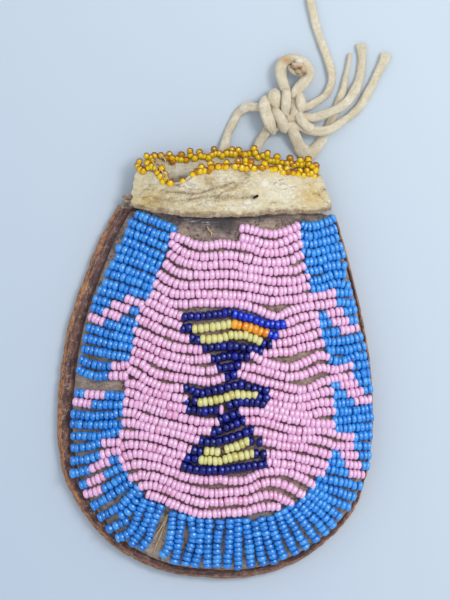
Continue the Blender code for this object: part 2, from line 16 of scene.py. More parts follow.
import bmesh
import bpy
import numpy as np
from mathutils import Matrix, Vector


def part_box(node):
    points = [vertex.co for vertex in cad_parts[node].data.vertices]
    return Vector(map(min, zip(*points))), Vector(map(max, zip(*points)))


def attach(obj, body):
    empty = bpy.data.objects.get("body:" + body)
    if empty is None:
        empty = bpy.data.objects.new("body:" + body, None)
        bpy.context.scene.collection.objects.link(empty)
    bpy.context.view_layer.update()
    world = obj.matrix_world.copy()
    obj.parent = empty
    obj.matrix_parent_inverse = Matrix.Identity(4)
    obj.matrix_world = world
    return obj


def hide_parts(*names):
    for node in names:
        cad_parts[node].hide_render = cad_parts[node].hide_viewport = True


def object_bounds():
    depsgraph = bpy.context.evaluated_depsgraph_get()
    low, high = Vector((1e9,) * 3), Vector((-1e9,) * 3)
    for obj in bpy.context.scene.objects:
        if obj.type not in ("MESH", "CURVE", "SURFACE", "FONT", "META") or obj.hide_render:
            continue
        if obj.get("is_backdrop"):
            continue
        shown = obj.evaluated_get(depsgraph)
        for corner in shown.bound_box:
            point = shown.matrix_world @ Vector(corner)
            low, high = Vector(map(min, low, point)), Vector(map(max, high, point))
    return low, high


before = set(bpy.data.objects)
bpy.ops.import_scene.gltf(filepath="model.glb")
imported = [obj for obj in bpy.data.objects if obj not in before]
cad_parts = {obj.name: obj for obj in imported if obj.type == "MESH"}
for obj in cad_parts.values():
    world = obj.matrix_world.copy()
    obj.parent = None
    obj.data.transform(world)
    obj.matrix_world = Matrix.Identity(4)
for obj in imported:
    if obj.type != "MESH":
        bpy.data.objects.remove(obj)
CAD_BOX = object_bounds()
BACK_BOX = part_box("back_panel")

LOG = logging.getLogger("pouch")
MM = 0.001
ROOT = "root"
SEED = 1887

Colour = tuple[float, float, float]
Way = tuple[float, float, float]
Points = Sequence[tuple[float, float]]
Faces = list[tuple[int, ...]]


@dataclass(frozen=True)
class Drawing:
    """How a point of the photograph lies on the pouch.

    Args:
        pixel: real size of one pixel on the floor.
        middle: pixel column of the pouch's middle.
        bottom: pixel row of its lowest edge.
        centre: the pixel in the middle of the frame.
        camera_height: height of the camera above the floor.
    """

    pixel: float = 0.25 * MM
    middle: float = 214.9
    bottom: float = 577.5
    centre: tuple[float, float] = (225.0, 300.0)
    camera_height: float = 1.0

    def origin(self) -> np.ndarray:
        """The pouch's middle and lowest edge, where the frame has them."""
        low, high = BACK_BOX
        return np.array([(low.x + high.x) / 2, low.y])

    def flat(self, pixels: Points) -> np.ndarray:
        """Places on the floor of some pixels, one row of x and y for each."""
        points = np.array(pixels, dtype=float).reshape(-1, 2)
        return self.origin() + (points - (self.middle, self.bottom)) * (self.pixel, -self.pixel)

    def row(self, pixel_row: float) -> float:
        """How far along the floor a pixel row lies."""
        return self.flat([(self.middle, pixel_row)])[0, 1]

    def raised(self, places: np.ndarray, heights: np.ndarray) -> np.ndarray:
        """Where things drawn on the floor really lie when they are above it.

        Args:
            places: their places on the floor, as the camera above sees them.
            heights: the height of each above the floor.

        Returns:
            The places right under them, one row of x and y for each.
        """
        eye = self.flat([self.centre])[0]
        return eye + (places - eye) * (1.0 - heights[:, None] / self.camera_height)


DRAWING = Drawing()


def smooth_line(points: np.ndarray, spans: int) -> np.ndarray:
    """A smooth curve through points.

    Args:
        points: the points it passes through.
        spans: steps between one point and the next.

    Returns:
        The curve's points.
    """
    points = np.asarray(points, dtype=float)
    if len(points) < 3:
        steps = np.linspace(0.0, 1.0, spans + 1)[:, None]
        return points[0] + (points[-1] - points[0]) * steps
    padded = np.vstack([2 * points[0] - points[1], points, 2 * points[-1] - points[-2]])
    t = np.linspace(0.0, 1.0, spans, endpoint=False)[:, None]
    curve = []
    for span in range(len(points) - 1):
        before, start, end, after = padded[span:span + 4]
        curve.append(0.5 * (2 * start + (end - before) * t
                            + (2 * before - 5 * start + 4 * end - after) * t ** 2
                            + (3 * start - before - 3 * end + after) * t ** 3))
    return np.vstack([*curve, points[-1:]])


def measured(line: np.ndarray) -> np.ndarray:
    """The distance along a line at each of its points."""
    steps = np.linalg.norm(np.diff(line, axis=0), axis=1)
    return np.concatenate([[0.0], np.cumsum(steps)])


def evenly(line: np.ndarray, count: int, shares: np.ndarray | None = None) -> np.ndarray:
    """Points spread along a line.

    Args:
        line: the line's points.
        count: how many places, when they are even.
        shares: shares of the length instead, where they aren't even.

    Returns:
        The places, one row each.
    """
    run = measured(line)
    places = (np.linspace(0.0, 1.0, count) if shares is None else shares) * run[-1]
    return np.stack([np.interp(places, run, column) for column in line.T], axis=1)


def unit(rows: np.ndarray) -> np.ndarray:
    """Directions of some vectors, one in each row."""
    return rows / np.linalg.norm(rows, axis=1)[:, None]


class Ripple:
    """A gentle uneven field made of a few waves, the same on every run."""

    def __init__(self, seed: int, length: float, waves: int = 9) -> None:
        """Choose the waves.

        Args:
            seed: seed of their directions and phases.
            length: length of the middle wave.
            waves: how many waves are added.
        """
        draw = np.random.default_rng(seed)
        angles = draw.uniform(0.0, 2 * math.pi, waves)
        lengths = length * draw.uniform(0.6, 1.7, waves)
        self.pulls = 2 * math.pi / lengths[:, None] * np.stack([np.cos(angles), np.sin(angles)], 1)
        self.phases = draw.uniform(0.0, 2 * math.pi, waves)

    def at(self, points: np.ndarray) -> np.ndarray:
        """The field's value, about -1 to 1, at some points of the plane."""
        waves = np.sin(points[:, :2] @ self.pulls.T + self.phases)
        return waves.sum(axis=1) / math.sqrt(len(self.phases)) / 1.4


@dataclass
class PouchForm:
    """The shape that the hide, the collar and the beads share, as the frame has it."""

    width: float = 78.8 * MM
    length: float = 93.1 * MM
    back_thickness: float = 3.0 * MM
    front_thickness: float = 1.3 * MM
    clearance: float = 0.3 * MM
    rims: tuple[float, float, float] = (4.0 * MM, 2.3 * MM, 1.0 * MM)
    bulge_height: float = 8.0 * MM
    bulge_power: float = 2.2
    bulge_centre: tuple[float, float] = (0.8 * MM, 44.4 * MM)
    bulge_reach: float = 66.0 * MM
    collar_narrowing: float = 2.2 * MM
    back_lip: float = 12.6 * MM
    steps: int = 360
    slope_step: float = 0.5 * MM
    outline: Points = (
        (-0.615, 1.000), (-0.730, 0.910), (-0.844, 0.788), (-0.927, 0.680), (-0.977, 0.562),
        (-1.000, 0.423), (-0.971, 0.297), (-0.860, 0.189), (-0.647, 0.087), (-0.368, 0.023),
        (-0.050, 0.000), (0.248, 0.004), (0.543, 0.048), (0.801, 0.136), (0.943, 0.243),
        (1.000, 0.404), (0.985, 0.570), (0.921, 0.726), (0.841, 0.860), (0.763, 0.973),
    )
    edge: np.ndarray = field(init=False)
    inward: np.ndarray = field(init=False)
    rim: np.ndarray = field(init=False)
    front_edge: np.ndarray = field(init=False)
    angles: np.ndarray = field(init=False)
    reaches: np.ndarray = field(init=False)

    def __post_init__(self) -> None:
        """Work out the edges and how far the bulge reaches each way."""
        corners = np.array(self.outline) * (self.width / 2, self.length)
        self.edge = evenly(smooth_line(corners, 10), self.steps)
        along = unit(np.gradient(self.edge, axis=0))
        self.inward = np.stack([-along[:, 1], along[:, 0]], axis=1)
        left, bottom, right = self.rims
        self.rim = (left * np.maximum(self.inward[:, 0], 0) ** 2
                    + bottom * self.inward[:, 1] ** 2
                    + right * np.maximum(-self.inward[:, 0], 0) ** 2)
        self.front_edge = self.edge + self.inward * self.rim[:, None]
        lip, top = self.length + self.back_lip, self.length + self.bulge_reach
        low, high = self.collar_sides(self.length), self.collar_sides(lip)
        shoulder = (lip + top) / 2
        above = [(low[1], self.length), (high[1], lip), (high[1] * 0.8, shoulder),
                 (self.bulge_centre[0], top), (high[0] * 0.8, shoulder), (high[0], lip),
                 (low[0], self.length)]
        around = np.vstack([self.front_edge, above]) - self.bulge_centre
        angles = np.arctan2(around[:, 1], around[:, 0])
        order = np.argsort(angles)
        self.angles = angles[order]
        self.reaches = np.linalg.norm(around, axis=1)[order]

    def collar_sides(self, along: float) -> tuple[float, float]:
        """Left and right edge of the collar at a height above the bottom."""
        inset = self.collar_narrowing * (max(0.0, along - self.length) / self.back_lip)
        return self.front_edge[0][0] + inset, self.front_edge[-1][0] - 2 * inset

    def reach(self, points: np.ndarray) -> np.ndarray:
        """How far the bulge reaches from its centre towards each point."""
        across, along = (points[:, :2] - self.bulge_centre).T
        return np.interp(np.arctan2(along, across), self.angles, self.reaches, period=2 * math.pi)

    def skin(self, points: np.ndarray) -> np.ndarray:
        """Height of the front hide's outer side.

        Args:
            points: places measured from the middle of the bottom edge.

        Returns:
            One height for each.
        """
        away = np.linalg.norm(points[:, :2] - self.bulge_centre, axis=1)
        share = np.minimum(1.0, away / self.reach(points))
        rise = self.bulge_height * (1 - share ** self.bulge_power)
        return self.back_thickness + self.clearance + self.front_thickness + rise

    def skin_at(self, places: np.ndarray) -> np.ndarray:
        """Height of the front hide's outer side over places in the frame."""
        return self.skin(places[:, :2] - DRAWING.origin())

    def facing(self, places: np.ndarray) -> np.ndarray:
        """The direction that the front hide faces.

        Args:
            places: places in the frame.

        Returns:
            One direction for each.
        """
        downhill = []
        for shift in ((self.slope_step, 0.0), (0.0, self.slope_step)):
            ahead = self.skin_at(places[:, :2] + shift)
            behind = self.skin_at(places[:, :2] - shift)
            downhill.append((behind - ahead) / (2 * self.slope_step))
        return unit(np.stack([*downhill, np.ones(len(places))], axis=1))


FORM = PouchForm()


def linked(name: str, data: bpy.types.ID) -> bpy.types.Object:
    """Add an object to the scene.

    Args:
        name: its name.
        data: the mesh, lamp or camera that it holds.

    Returns:
        The new object.
    """
    made = bpy.data.objects.new(name, data)
    bpy.context.scene.collection.objects.link(made)
    return made


def grid_faces(rows: int, columns: int, first: int = 0, stride: int = 0) -> Faces:
    """Four-sided faces between closed rows of points.

    Args:
        rows: number of rows.
        columns: points in each row.
        first: number of the first point.
        stride: numbers from one row to the next, where it isn't the points in a row.

    Returns:
        The faces' point numbers.
    """
    stride = stride or columns
    return [(low + column, low + after, low + stride + after, low + stride + column)
            for low in range(first, first + (rows - 1) * stride, stride)
            for column, after in ((column, (column + 1) % columns) for column in range(columns))]


def fan_faces(columns: int, first: int, pole: int) -> Faces:
    """Three-sided faces between a closed row of points and one point."""
    return [(first + column, first + (column + 1) % columns, pole) for column in range(columns)]


def closed_mesh(name: str, points: np.ndarray, faces: Iterable[Sequence[int]],
                uv: np.ndarray | None = None) -> bpy.types.Object:
    """An object from points and faces, with its faces turned outwards.

    Args:
        name: the piece's name.
        points: its points in the frame.
        faces: point numbers of each face.
        uv: one pair of pattern coordinates for each point.

    Returns:
        The new object, linked to the scene.
    """
    mesh = bpy.data.meshes.new(name)
    mesh.from_pydata([tuple(point) for point in points], [], [tuple(face) for face in faces])
    if uv is not None:
        layer = mesh.uv_layers.new(name="pattern")
        for loop in mesh.loops:
            layer.data[loop.index].uv = uv[loop.vertex_index]
    work = bmesh.new()
    work.from_mesh(mesh)
    bmesh.ops.recalc_face_normals(work, faces=work.faces)
    work.to_mesh(mesh)
    work.free()
    mesh.shade_smooth()
    return linked(name, mesh)


def paint_points(piece: bpy.types.Object, name: str, values: np.ndarray) -> None:
    """Keep one number for each point of a piece, which its finish reads."""
    layer = piece.data.attributes.new(name, "FLOAT", "POINT")
    layer.data.foreach_set("value", np.asarray(values, dtype=np.float32))


@dataclass(frozen=True)
class Spot:
    """A soft round mark, placed by its pixel.

    Args:
        x: pixel column.
        y: pixel row.
        reach: how far it spreads, in pixels.
        strength: how much of it shows.
        stretch: how much wider than tall it is.
    """

    x: float
    y: float
    reach: float
    strength: float
    stretch: float = 1.0

    def over(self, places: np.ndarray) -> np.ndarray:
        """Strength of the mark at some places."""
        away = (places[:, :2] - DRAWING.flat([(self.x, self.y)])) / (self.reach * DRAWING.pixel)
        return self.strength * np.exp(-(away[:, 0] / self.stretch) ** 2 - away[:, 1] ** 2)


def marked(spots: Sequence[Spot], points: np.ndarray, most: float = 1.0,
           under: np.ndarray | float = 0.0) -> np.ndarray:
    """Strength of several marks together.

    Args:
        spots: the marks.
        points: the places that they mark.
        most: the greatest strength.
        under: strength that is there without them.

    Returns:
        One strength for each place.
    """
    return np.clip(sum(spot.over(points) for spot in spots) + under, 0.0, most)


def settle(piece: bpy.types.Object, finish: bpy.types.Material,
           nodes: Sequence[str] = ()) -> bpy.types.Object:
    """Dress a piece and fix it to the pouch.

    Args:
        piece: the finished piece, in place.
        finish: its material.
        nodes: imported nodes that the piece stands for.

    Returns:
        The same piece.
    """
    if not piece.data.materials:
        piece.data.materials.append(finish)
    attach(piece, ROOT)
    if nodes:
        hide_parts(*nodes)
    LOG.info("%s: %d faces", piece.name, len(piece.data.polygons))
    return piece


class Bench:
    """A small bench for wiring one tree of nodes."""

    def __init__(self, tree: bpy.types.NodeTree) -> None:
        """Take the tree that is worked on and, where it is a finish's, its shader."""
        self.tree = tree
        self.shader = tree.nodes.get("Principled BSDF")

    def node(self, kind: str, feeds: dict | None = None, settings: dict | None = None
             ) -> bpy.types.Node:
        """Add a node.

        Args:
            kind: the node's type.
            feeds: a value or another node's output for some of its inputs.
            settings: the node's own settings.

        Returns:
            The new node.
        """
        made = self.tree.nodes.new(kind)
        for key, value in (settings or {}).items():
            setattr(made, key, value)
        for key, value in (feeds or {}).items():
            self.feed(made.inputs[key], value)
        return made

    def feed(self, socket: bpy.types.NodeSocket, value: object) -> None:
        """Feed an input.

        Args:
            socket: the input.
            value: a plain value, or another node's output to link to it.
        """
        if isinstance(value, bpy.types.NodeSocket):
            self.tree.links.new(value, socket)
        else:
            socket.default_value = value

    def maths(self, operation: str, first: object, second: object = 0.0,
              clamp: bool = False) -> bpy.types.NodeSocket:
        """The result of one sum."""
        return self.node("ShaderNodeMath", {0: first, 1: second},
                         {"operation": operation, "use_clamp": clamp}).outputs[0]

    def times(self, first: object, second: object) -> bpy.types.NodeSocket:
        """One value times another."""
        return self.maths("MULTIPLY", first, second)

    def plus(self, first: object, second: object) -> bpy.types.NodeSocket:
        """One value and another together."""
        return self.maths("ADD", first, second)

    def vectors(self, operation: str, first: object, second: object = (0.0, 0.0, 0.0)
                ) -> bpy.types.NodeOutputs:
        """The outputs of one sum of vectors."""
        return self.node("ShaderNodeVectorMath", {0: first, 1: second},
                         {"operation": operation}).outputs

    def mixed(self, share: object, first: object, second: object, blend: str = "MIX"
              ) -> bpy.types.NodeSocket:
        """Mix two colours.

        Args:
            share: how much of the second one shows.
            first: the first colour.
            second: the second colour.
            blend: the way they mix.

        Returns:
            The mixed colour.
        """
        first, second = ((*tint, 1.0) if isinstance(tint, tuple) else tint
                         for tint in (first, second))
        made = self.node("ShaderNodeMix", {0: share, 6: first, 7: second},
                         {"data_type": "RGBA", "blend_type": blend})
        return made.outputs[2]

    def layered(self, colour: object, *layers: tuple[object, float, Colour]
                ) -> bpy.types.NodeSocket:
        """Lay tints over a colour, one after another.

        Args:
            colour: the colour under them.
            layers: for each tint its mask, how much of the mask counts, and the tint.

        Returns:
            The finished colour.
        """
        for mask, strength, tint in layers:
            share = mask if strength == 1.0 else self.times(mask, strength)
            colour = self.mixed(share, colour, tint)
        return colour

    def ramp(self, value: object, low: float, high: float) -> bpy.types.NodeSocket:
        """A value stretched so that low becomes 0 and high becomes 1, smoothly."""
        return self.node("ShaderNodeMapRange", {0: value, 1: low, 2: high},
                         {"interpolation_type": "SMOOTHSTEP"}).outputs[0]

    def noise(self, place: object, scale: object, detail: float = 3.0, roughness: float = 0.55
              ) -> bpy.types.NodeSocket:
        """A soft noise over a place."""
        return self.node("ShaderNodeTexNoise", {"Vector": place, "Scale": scale, "Detail": detail,
                                                "Roughness": roughness}).outputs[0]

    def attribute(self, name: str, output: str = "Fac") -> bpy.types.NodeSocket:
        """What a piece keeps for each point under a name."""
        made = self.node("ShaderNodeAttribute", settings={"attribute_name": name})
        return made.outputs[output]

    def here(self) -> bpy.types.NodeSocket:
        """Places in the object's own frame."""
        return self.node("ShaderNodeTexCoord").outputs["Object"]

    def pattern(self) -> bpy.types.NodeSocket:
        """The piece's own pattern coordinates."""
        return self.node("ShaderNodeTexCoord").outputs["UV"]

    def set_shader(self, values: dict[str, object]) -> None:
        """Feed some inputs of the material's shader, by their names."""
        for name, value in values.items():
            self.feed(self.shader.inputs[name], value)

    def dress(self, colour: object, roughness: object, height: object, distance: float,
              strength: float = 1.0) -> None:
        """Feed the material's shader its colour, its roughness and its bumps.

        Args:
            colour: its base colour.
            roughness: its roughness.
            height: height of the bumps.
            distance: how far the height's whole range reaches, in metres.
            strength: how much of it counts.
        """
        bump = self.node("ShaderNodeBump", {"Height": height, "Distance": distance,
                                            "Strength": strength})
        self.set_shader({"Base Color": colour, "Roughness": roughness,
                         "Normal": bump.outputs[0]})


class Effect(Enum):
    """Effects that several finishes share, each one group of nodes."""

    GRAIN = "hide_grain"
    STAINS = "soft_stains"
    STREAKS = "fibre_streaks"
    BATCH = "bead_batch"
    SIDE = "bead_side"


class Effects:
    """Builds each shared group once and places it in the finishes."""

    def __init__(self) -> None:
        """Start with no group made."""
        self.made: dict[Effect, bpy.types.NodeTree] = {}

    def place(self, bench: Bench, effect: Effect, **feeds: object) -> bpy.types.NodeOutputs:
        """Put an effect into a finish.

        Args:
            bench: the finish's bench.
            effect: which effect.
            feeds: values or links for the group's inputs, by their names in small letters.

        Returns:
            The group's outputs.
        """
        if effect not in self.made:
            builders = {Effect.GRAIN: self._grain, Effect.STAINS: self._stains,
                        Effect.STREAKS: self._streaks, Effect.BATCH: self._batch,
                        Effect.SIDE: self._side}
            builders[effect]()
        named = {name.title(): (*value, 1.0) if effect is Effect.BATCH
                 and isinstance(value, tuple) else value for name, value in feeds.items()}
        return bench.node("ShaderNodeGroup", named, {"node_tree": self.made[effect]}).outputs

    def _start(self, effect: Effect, given: str, made: str
               ) -> tuple[Bench, bpy.types.NodeOutputs, bpy.types.NodeInputs]:
        """Start a group.

        Args:
            effect: which effect it is for.
            given: its inputs, each a name and the first letter of its kind.
            made: its outputs, listed the same way.

        Returns:
            The group's bench, what comes in and what goes out.
        """
        tree = bpy.data.node_groups.new(effect.value, "ShaderNodeTree")
        kinds = {"v": "NodeSocketVector", "f": "NodeSocketFloat", "c": "NodeSocketColor"}
        for side, listed in (("INPUT", given), ("OUTPUT", made)):
            for item in listed.split():
                name, kind = item.split(":")
                tree.interface.new_socket(name, in_out=side, socket_type=kinds[kind])
        self.made[effect] = tree
        bench = Bench(tree)
        return bench, bench.node("NodeGroupInput").outputs, bench.node("NodeGroupOutput").inputs

    def _grain(self) -> None:
        """Pores and lumps of a skin: a height, and masks of its hollows and its crests."""
        bench, given, out = self._start(Effect.GRAIN, "Place:v Scale:f",
                                        "Height:f Hollows:f Crests:f")
        fine = bench.noise(given["Place"], given["Scale"], 5.0, 0.7)
        coarse = bench.noise(given["Place"], bench.times(given["Scale"], 0.3), 3.0, 0.6)
        height = bench.plus(bench.times(fine, 0.5), bench.times(coarse, 0.5))
        bench.feed(out["Height"], height)
        bench.feed(out["Hollows"], bench.ramp(height, 0.49, 0.40))
        bench.feed(out["Crests"], bench.ramp(height, 0.525, 0.60))

    def _stains(self) -> None:
        """Soft patches with ragged edges: a mask."""
        bench, given, out = self._start(Effect.STAINS, "Place:v Scale:f Shift:f Cover:f",
                                        "Mask:f")
        moved = bench.vectors("ADD", given["Place"], given["Shift"])[0]
        noise = bench.noise(moved, given["Scale"], 4.0, 0.6)
        low = bench.maths("SUBTRACT", 0.72, bench.times(given["Cover"], 0.4))
        bench.feed(out["Mask"], bench.ramp(noise, low, bench.plus(low, 0.16)))

    def _streaks(self) -> None:
        """Fibres along a pattern: a height, a mask of the dark ones and one of thin lines."""
        bench, given, out = self._start(Effect.STREAKS, "Pattern:v Along:f Across:f",
                                        "Height:f Dark:f Lines:f")
        parts = bench.node("ShaderNodeSeparateXYZ", {0: given["Pattern"]}).outputs
        stretched = bench.node("ShaderNodeCombineXYZ", {
            0: bench.times(parts[0], given["Along"]), 1: bench.times(parts[1], given["Across"])})
        noise = bench.noise(stretched.outputs[0], 1.0, 4.0, 0.6)
        away = bench.maths("ABSOLUTE", bench.maths("SUBTRACT", noise, 0.5))
        bench.feed(out["Height"], noise)
        bench.feed(out["Dark"], bench.ramp(noise, 0.54, 0.40))
        bench.feed(out["Lines"], bench.ramp(away, 0.022, 0.004))

    def _batch(self) -> None:
        """Small differences of tint from bead to bead: a colour."""
        bench, given, out = self._start(Effect.BATCH, "Shade:f Dark:c Usual:c Pale:c",
                                        "Colour:c")
        colour = bench.layered(given["Usual"],
                               (bench.ramp(given["Shade"], 0.30, 0.0), 1.0, given["Dark"]),
                               (bench.ramp(given["Shade"], 0.70, 1.0), 1.0, given["Pale"]))
        bench.feed(out["Colour"], colour)

    def _side(self) -> None:
        """How far a place on a bead lies towards one side of it: a share."""
        bench, given, out = self._start(Effect.SIDE, "Place:v Middle:v Way:v", "Share:f")
        away = bench.vectors("SUBTRACT", given["Place"], given["Middle"])[0]
        along = bench.vectors("DOT_PRODUCT", bench.vectors("NORMALIZE", away)[0], given["Way"])
        bench.feed(out["Share"], bench.plus(bench.times(along["Value"], 0.5), 0.5))


EFFECTS = Effects()


@dataclass(frozen=True)
class Finish:
    """One material of the pouch.

    Args:
        name: the finish's name.
    """

    name: str

    @cache
    def material(self) -> bpy.types.Material:
        """Build the finish, once.

        Returns:
            The material.
        """
        finish = bpy.data.materials.new(self.name)
        finish.use_nodes = True
        tree = finish.node_tree
        self.wire(Bench(tree))
        return finish

    def wire(self, bench: Bench) -> None:
        """Wire the nodes; each kind of finish has its own.

        Args:
            bench: the finish's bench.
        """
        raise NotImplementedError(self.name)


def towards(bench: Bench, way: Way) -> bpy.types.NodeSocket:
    """How far places on a bead lie towards a direction, as a share."""
    middle = bench.attribute("middle", "Vector")
    return EFFECTS.place(bench, Effect.SIDE, place=bench.here(), middle=middle, way=way)["Share"]


@dataclass(frozen=True)
class BeadGlass(Finish):
    """Opaque glass of the strung beads.

    Args:
        name: the finish's name.
        dark: tint of the darkest beads.
        usual: tint of most beads.
        pale: tint of the palest beads.
        highlight_tint: tint of the painted highlight on the side of each bead that faces the lamp.
        roughness: how soft the gleam is.
        milkiness: how much of the light goes through the glass.
        index: how strongly the glass bends light.
        paling: how much paler and duller the beads on the right side are.
        right: where the paling starts and ends across the pouch, from its middle.
        upper: where it starts and ends along the pouch.
        upper_share: how much of it the upper part gets.
        lamp: the way that the painted highlights face.
    """

    dark: Colour
    usual: Colour
    pale: Colour
    highlight_tint: Colour
    roughness: float = 0.22
    milkiness: float = 0.6
    index: float = 1.52
    paling: float = 0.5
    right: tuple[float, float] = (18.0 * MM, 30.0 * MM)
    upper: tuple[float, float] = (0.0, 25.0 * MM)
    upper_share: float = 0.6
    lamp: Way = (0.20, 0.16, 0.967)

    def wire(self, bench: Bench) -> None:
        """Wire tint, a painted highlight, painted shade on the lower side of each bead, and dirt.

        Args:
            bench: the finish's bench.
        """
        here = bench.here()
        across, along = bench.node("ShaderNodeSeparateXYZ", {0: here}).outputs[:2]
        aside = bench.times(bench.ramp(across, *self.right), self.paling)
        above = bench.times(bench.ramp(along, *self.upper), self.upper_share * self.paling)
        shade = bench.plus(bench.attribute("shade"), bench.plus(aside, above))
        batch = EFFECTS.place(bench, Effect.BATCH, shade=shade, dark=self.dark,
                              usual=self.usual, pale=self.pale)
        share = towards(bench, self.lamp)
        # Painted highlight: each bead's side towards the lamp takes the bloom tint, in patches that
        # this noise picks, weaker on the right.
        lighter = bench.ramp(bench.noise(here, 520.0, 2.0), 0.30, 0.56)
        gleam = bench.times(bench.ramp(share, 0.966, 0.996), lighter)
        gleam = bench.times(gleam, bench.maths("SUBTRACT", 1.0, aside))
        dirt = bench.ramp(bench.noise(here, 900.0, 2.0), 0.60, 0.78)
        # Painted shade: the lower side of each bead, away from the lamp, is darkened with this tint;
        # the dirt noise darkens some beads with it too.
        darker = tuple(channel * 0.5 for channel in self.dark)
        colour = bench.layered(batch["Colour"], (gleam, 1.0, self.highlight_tint),
                               (bench.ramp(share, 0.50, 0.30), 0.3, darker), (dirt, 0.2, darker))
        bench.dress(colour, self.roughness, bench.noise(here, 1600.0, 1.0), 0.04 * MM,
                    0.6)
        bench.set_shader({"IOR": self.index, "Subsurface Weight": self.milkiness,
                          "Subsurface Radius": (1.0, 0.8, 0.9), "Subsurface Scale": 0.5 * MM})


@dataclass(frozen=True)
class AmberGlass(Finish):
    """Clear honey-coloured glass of the edging beads."""

    name: str = "amber_glass"
    deep: Colour = (0.50, 0.205, 0.003)
    usual: Colour = (0.80, 0.41, 0.003)
    bright: Colour = (0.92, 0.55, 0.005)
    # glow is painted light in a bead's lower core, rim painted shade at its edge and glint a painted
    # highlight.
    glow: Colour = (1.0, 0.70, 0.006)
    rim: Colour = (0.24, 0.090, 0.002)
    glint: Colour = (1.0, 0.92, 0.42)
    clearness: float = 0.12
    milkiness: float = 0.5
    index: float = 1.36
    core: Way = (-0.10, -0.42, 0.90)
    lamp: Way = (0.10, 0.30, 0.95)

    def wire(self, bench: Bench) -> None:
        """Wire tint, painted light in the core, painted shade at the rim and a painted glint.

        Args:
            bench: the finish's bench.
        """
        here, shade = bench.here(), bench.attribute("shade")
        batch = EFFECTS.place(bench, Effect.BATCH, shade=shade, dark=self.deep,
                              usual=self.usual, pale=self.bright)
        low, high = towards(bench, self.core), towards(bench, self.lamp)
        # Painted light: each bead's lower core takes the glow tint, as if lit through the glass;
        # painted shade: its edge takes the rim tint; painted highlight: its side towards the lamp
        # takes the glint tint.
        lit = bench.times(bench.ramp(low, 0.86, 0.95), bench.ramp(shade, 0.0, 0.5))
        glint = bench.times(bench.ramp(high, 0.975, 0.996),
                            bench.ramp(bench.noise(here, 420.0, 1.0), 0.40, 0.55))
        colour = bench.layered(batch["Colour"], (lit, 1.0, self.glow),
                               (bench.ramp(low, 0.84, 0.58), 1.0, self.rim),
                               (glint, 0.8, self.glint))
        bench.dress(colour, 0.08, bench.noise(here, 1200.0, 1.0), 0.05 * MM, 0.5)
        bench.set_shader({"IOR": self.index, "Transmission Weight": self.clearness,
                          "Subsurface Weight": self.milkiness,
                          "Subsurface Radius": (0.8, 1.0, 0.5), "Subsurface Scale": 0.3 * MM})


@dataclass(frozen=True)
class GreyHide(Finish):
    """Worn grey-taupe hide that shows between the bead rows."""

    name: str = "grey_hide"
    usual: Colour = (0.275, 0.215, 0.190)
    pale: Colour = (0.50, 0.40, 0.32)
    dark: Colour = (0.042, 0.036, 0.043)
    tan: Colour = (0.47, 0.34, 0.255)
    pink_bounce_tint: Colour = (0.46, 0.265, 0.235)
    glint_tint: Colour = (0.55, 0.56, 0.64)

    def wire(self, bench: Bench) -> None:
        """Wire patches, soot, fibres and the painted marks: painted shadow, painted glints, painted
        pink light from the beads and painted light between the bead rows.

        Args:
            bench: the finish's bench.
        """
        here = bench.here()
        grain = EFFECTS.place(bench, Effect.GRAIN, place=here, scale=1500.0)
        patches = EFFECTS.place(bench, Effect.STAINS, place=here, scale=110.0, shift=0.3,
                                cover=0.55)
        soot = EFFECTS.place(bench, Effect.STAINS, place=here, scale=160.0, shift=1.7,
                             cover=0.45)
        streaks = EFFECTS.place(bench, Effect.STREAKS, pattern=here, along=380.0,
                                across=1900.0)
        # Painted highlight: pale glints along the fibre streaks where frosted is marked.
        glints = bench.times(bench.attribute("painted_glints"),
                             bench.ramp(streaks["Height"], 0.46, 0.52))
        # Of these layers, blushed is painted pink light from the beads, faded is tan patches and
        # over the beads painted light, shadow is painted shadow and glints are painted highlights.
        colour = bench.layered(
            self.usual, (patches["Mask"], 1.0, self.pale), (soot["Mask"], 0.5, self.dark),
            (bench.attribute("painted_pink_bounce"), 1.0, self.pink_bounce_tint),
            (bench.attribute("paling"), 1.0, self.tan), (grain["Crests"], 0.9, self.pale),
            (streaks["Dark"], 0.25, self.dark), (grain["Hollows"], 0.75, self.dark),
            (bench.attribute("shadow"), 1.0, self.dark), (glints, 1.0, self.glint_tint))
        bench.dress(colour, 0.65, grain["Height"], 0.8 * MM)


@dataclass(frozen=True)
class BrownHide(Finish):
    """Thick brown hide of the back, fibrous where its cut rim shows."""

    name: str = "brown_hide"
    usual: Colour = (0.225, 0.108, 0.088)
    orange: Colour = (0.46, 0.155, 0.045)
    golden: Colour = (0.54, 0.275, 0.105)
    dark: Colour = (0.070, 0.036, 0.038)
    scuffed: Colour = (0.54, 0.36, 0.25)

    def wire(self, bench: Bench) -> None:
        """Wire fibres, the worn edge and the grain.

        Args:
            bench: the finish's bench.
        """
        pattern = bench.pattern()
        grain = EFFECTS.place(bench, Effect.GRAIN, place=bench.here(), scale=2500.0)
        broad = EFFECTS.place(bench, Effect.STREAKS, pattern=pattern, along=150.0,
                              across=1300.0)
        fine = EFFECTS.place(bench, Effect.STREAKS, pattern=pattern, along=650.0,
                             across=3600.0)
        bright = bench.mixed(bench.ramp(fine["Height"], 0.46, 0.60), self.orange, self.golden)
        uneven = bench.times(bench.maths("SUBTRACT", broad["Height"], 0.5), 3.0)
        lighter = bench.ramp(bench.plus(bench.attribute("edge"), uneven), 0.30, 0.75)
        colour = bench.layered(
            self.usual, (broad["Dark"], 1.0, self.dark), (lighter, 1.0, bright),
            (fine["Dark"], 0.5, self.dark), (grain["Hollows"], 0.85, self.dark),
            (grain["Crests"], 0.6, self.scuffed), (bench.attribute("shadow"), 1.0, self.dark))
        roughness = bench.plus(0.45, bench.times(grain["Height"], 0.45))
        height = bench.plus(bench.times(broad["Height"], 0.6), bench.times(grain["Height"], 0.4))
        bench.dress(colour, roughness, height, 0.7 * MM)


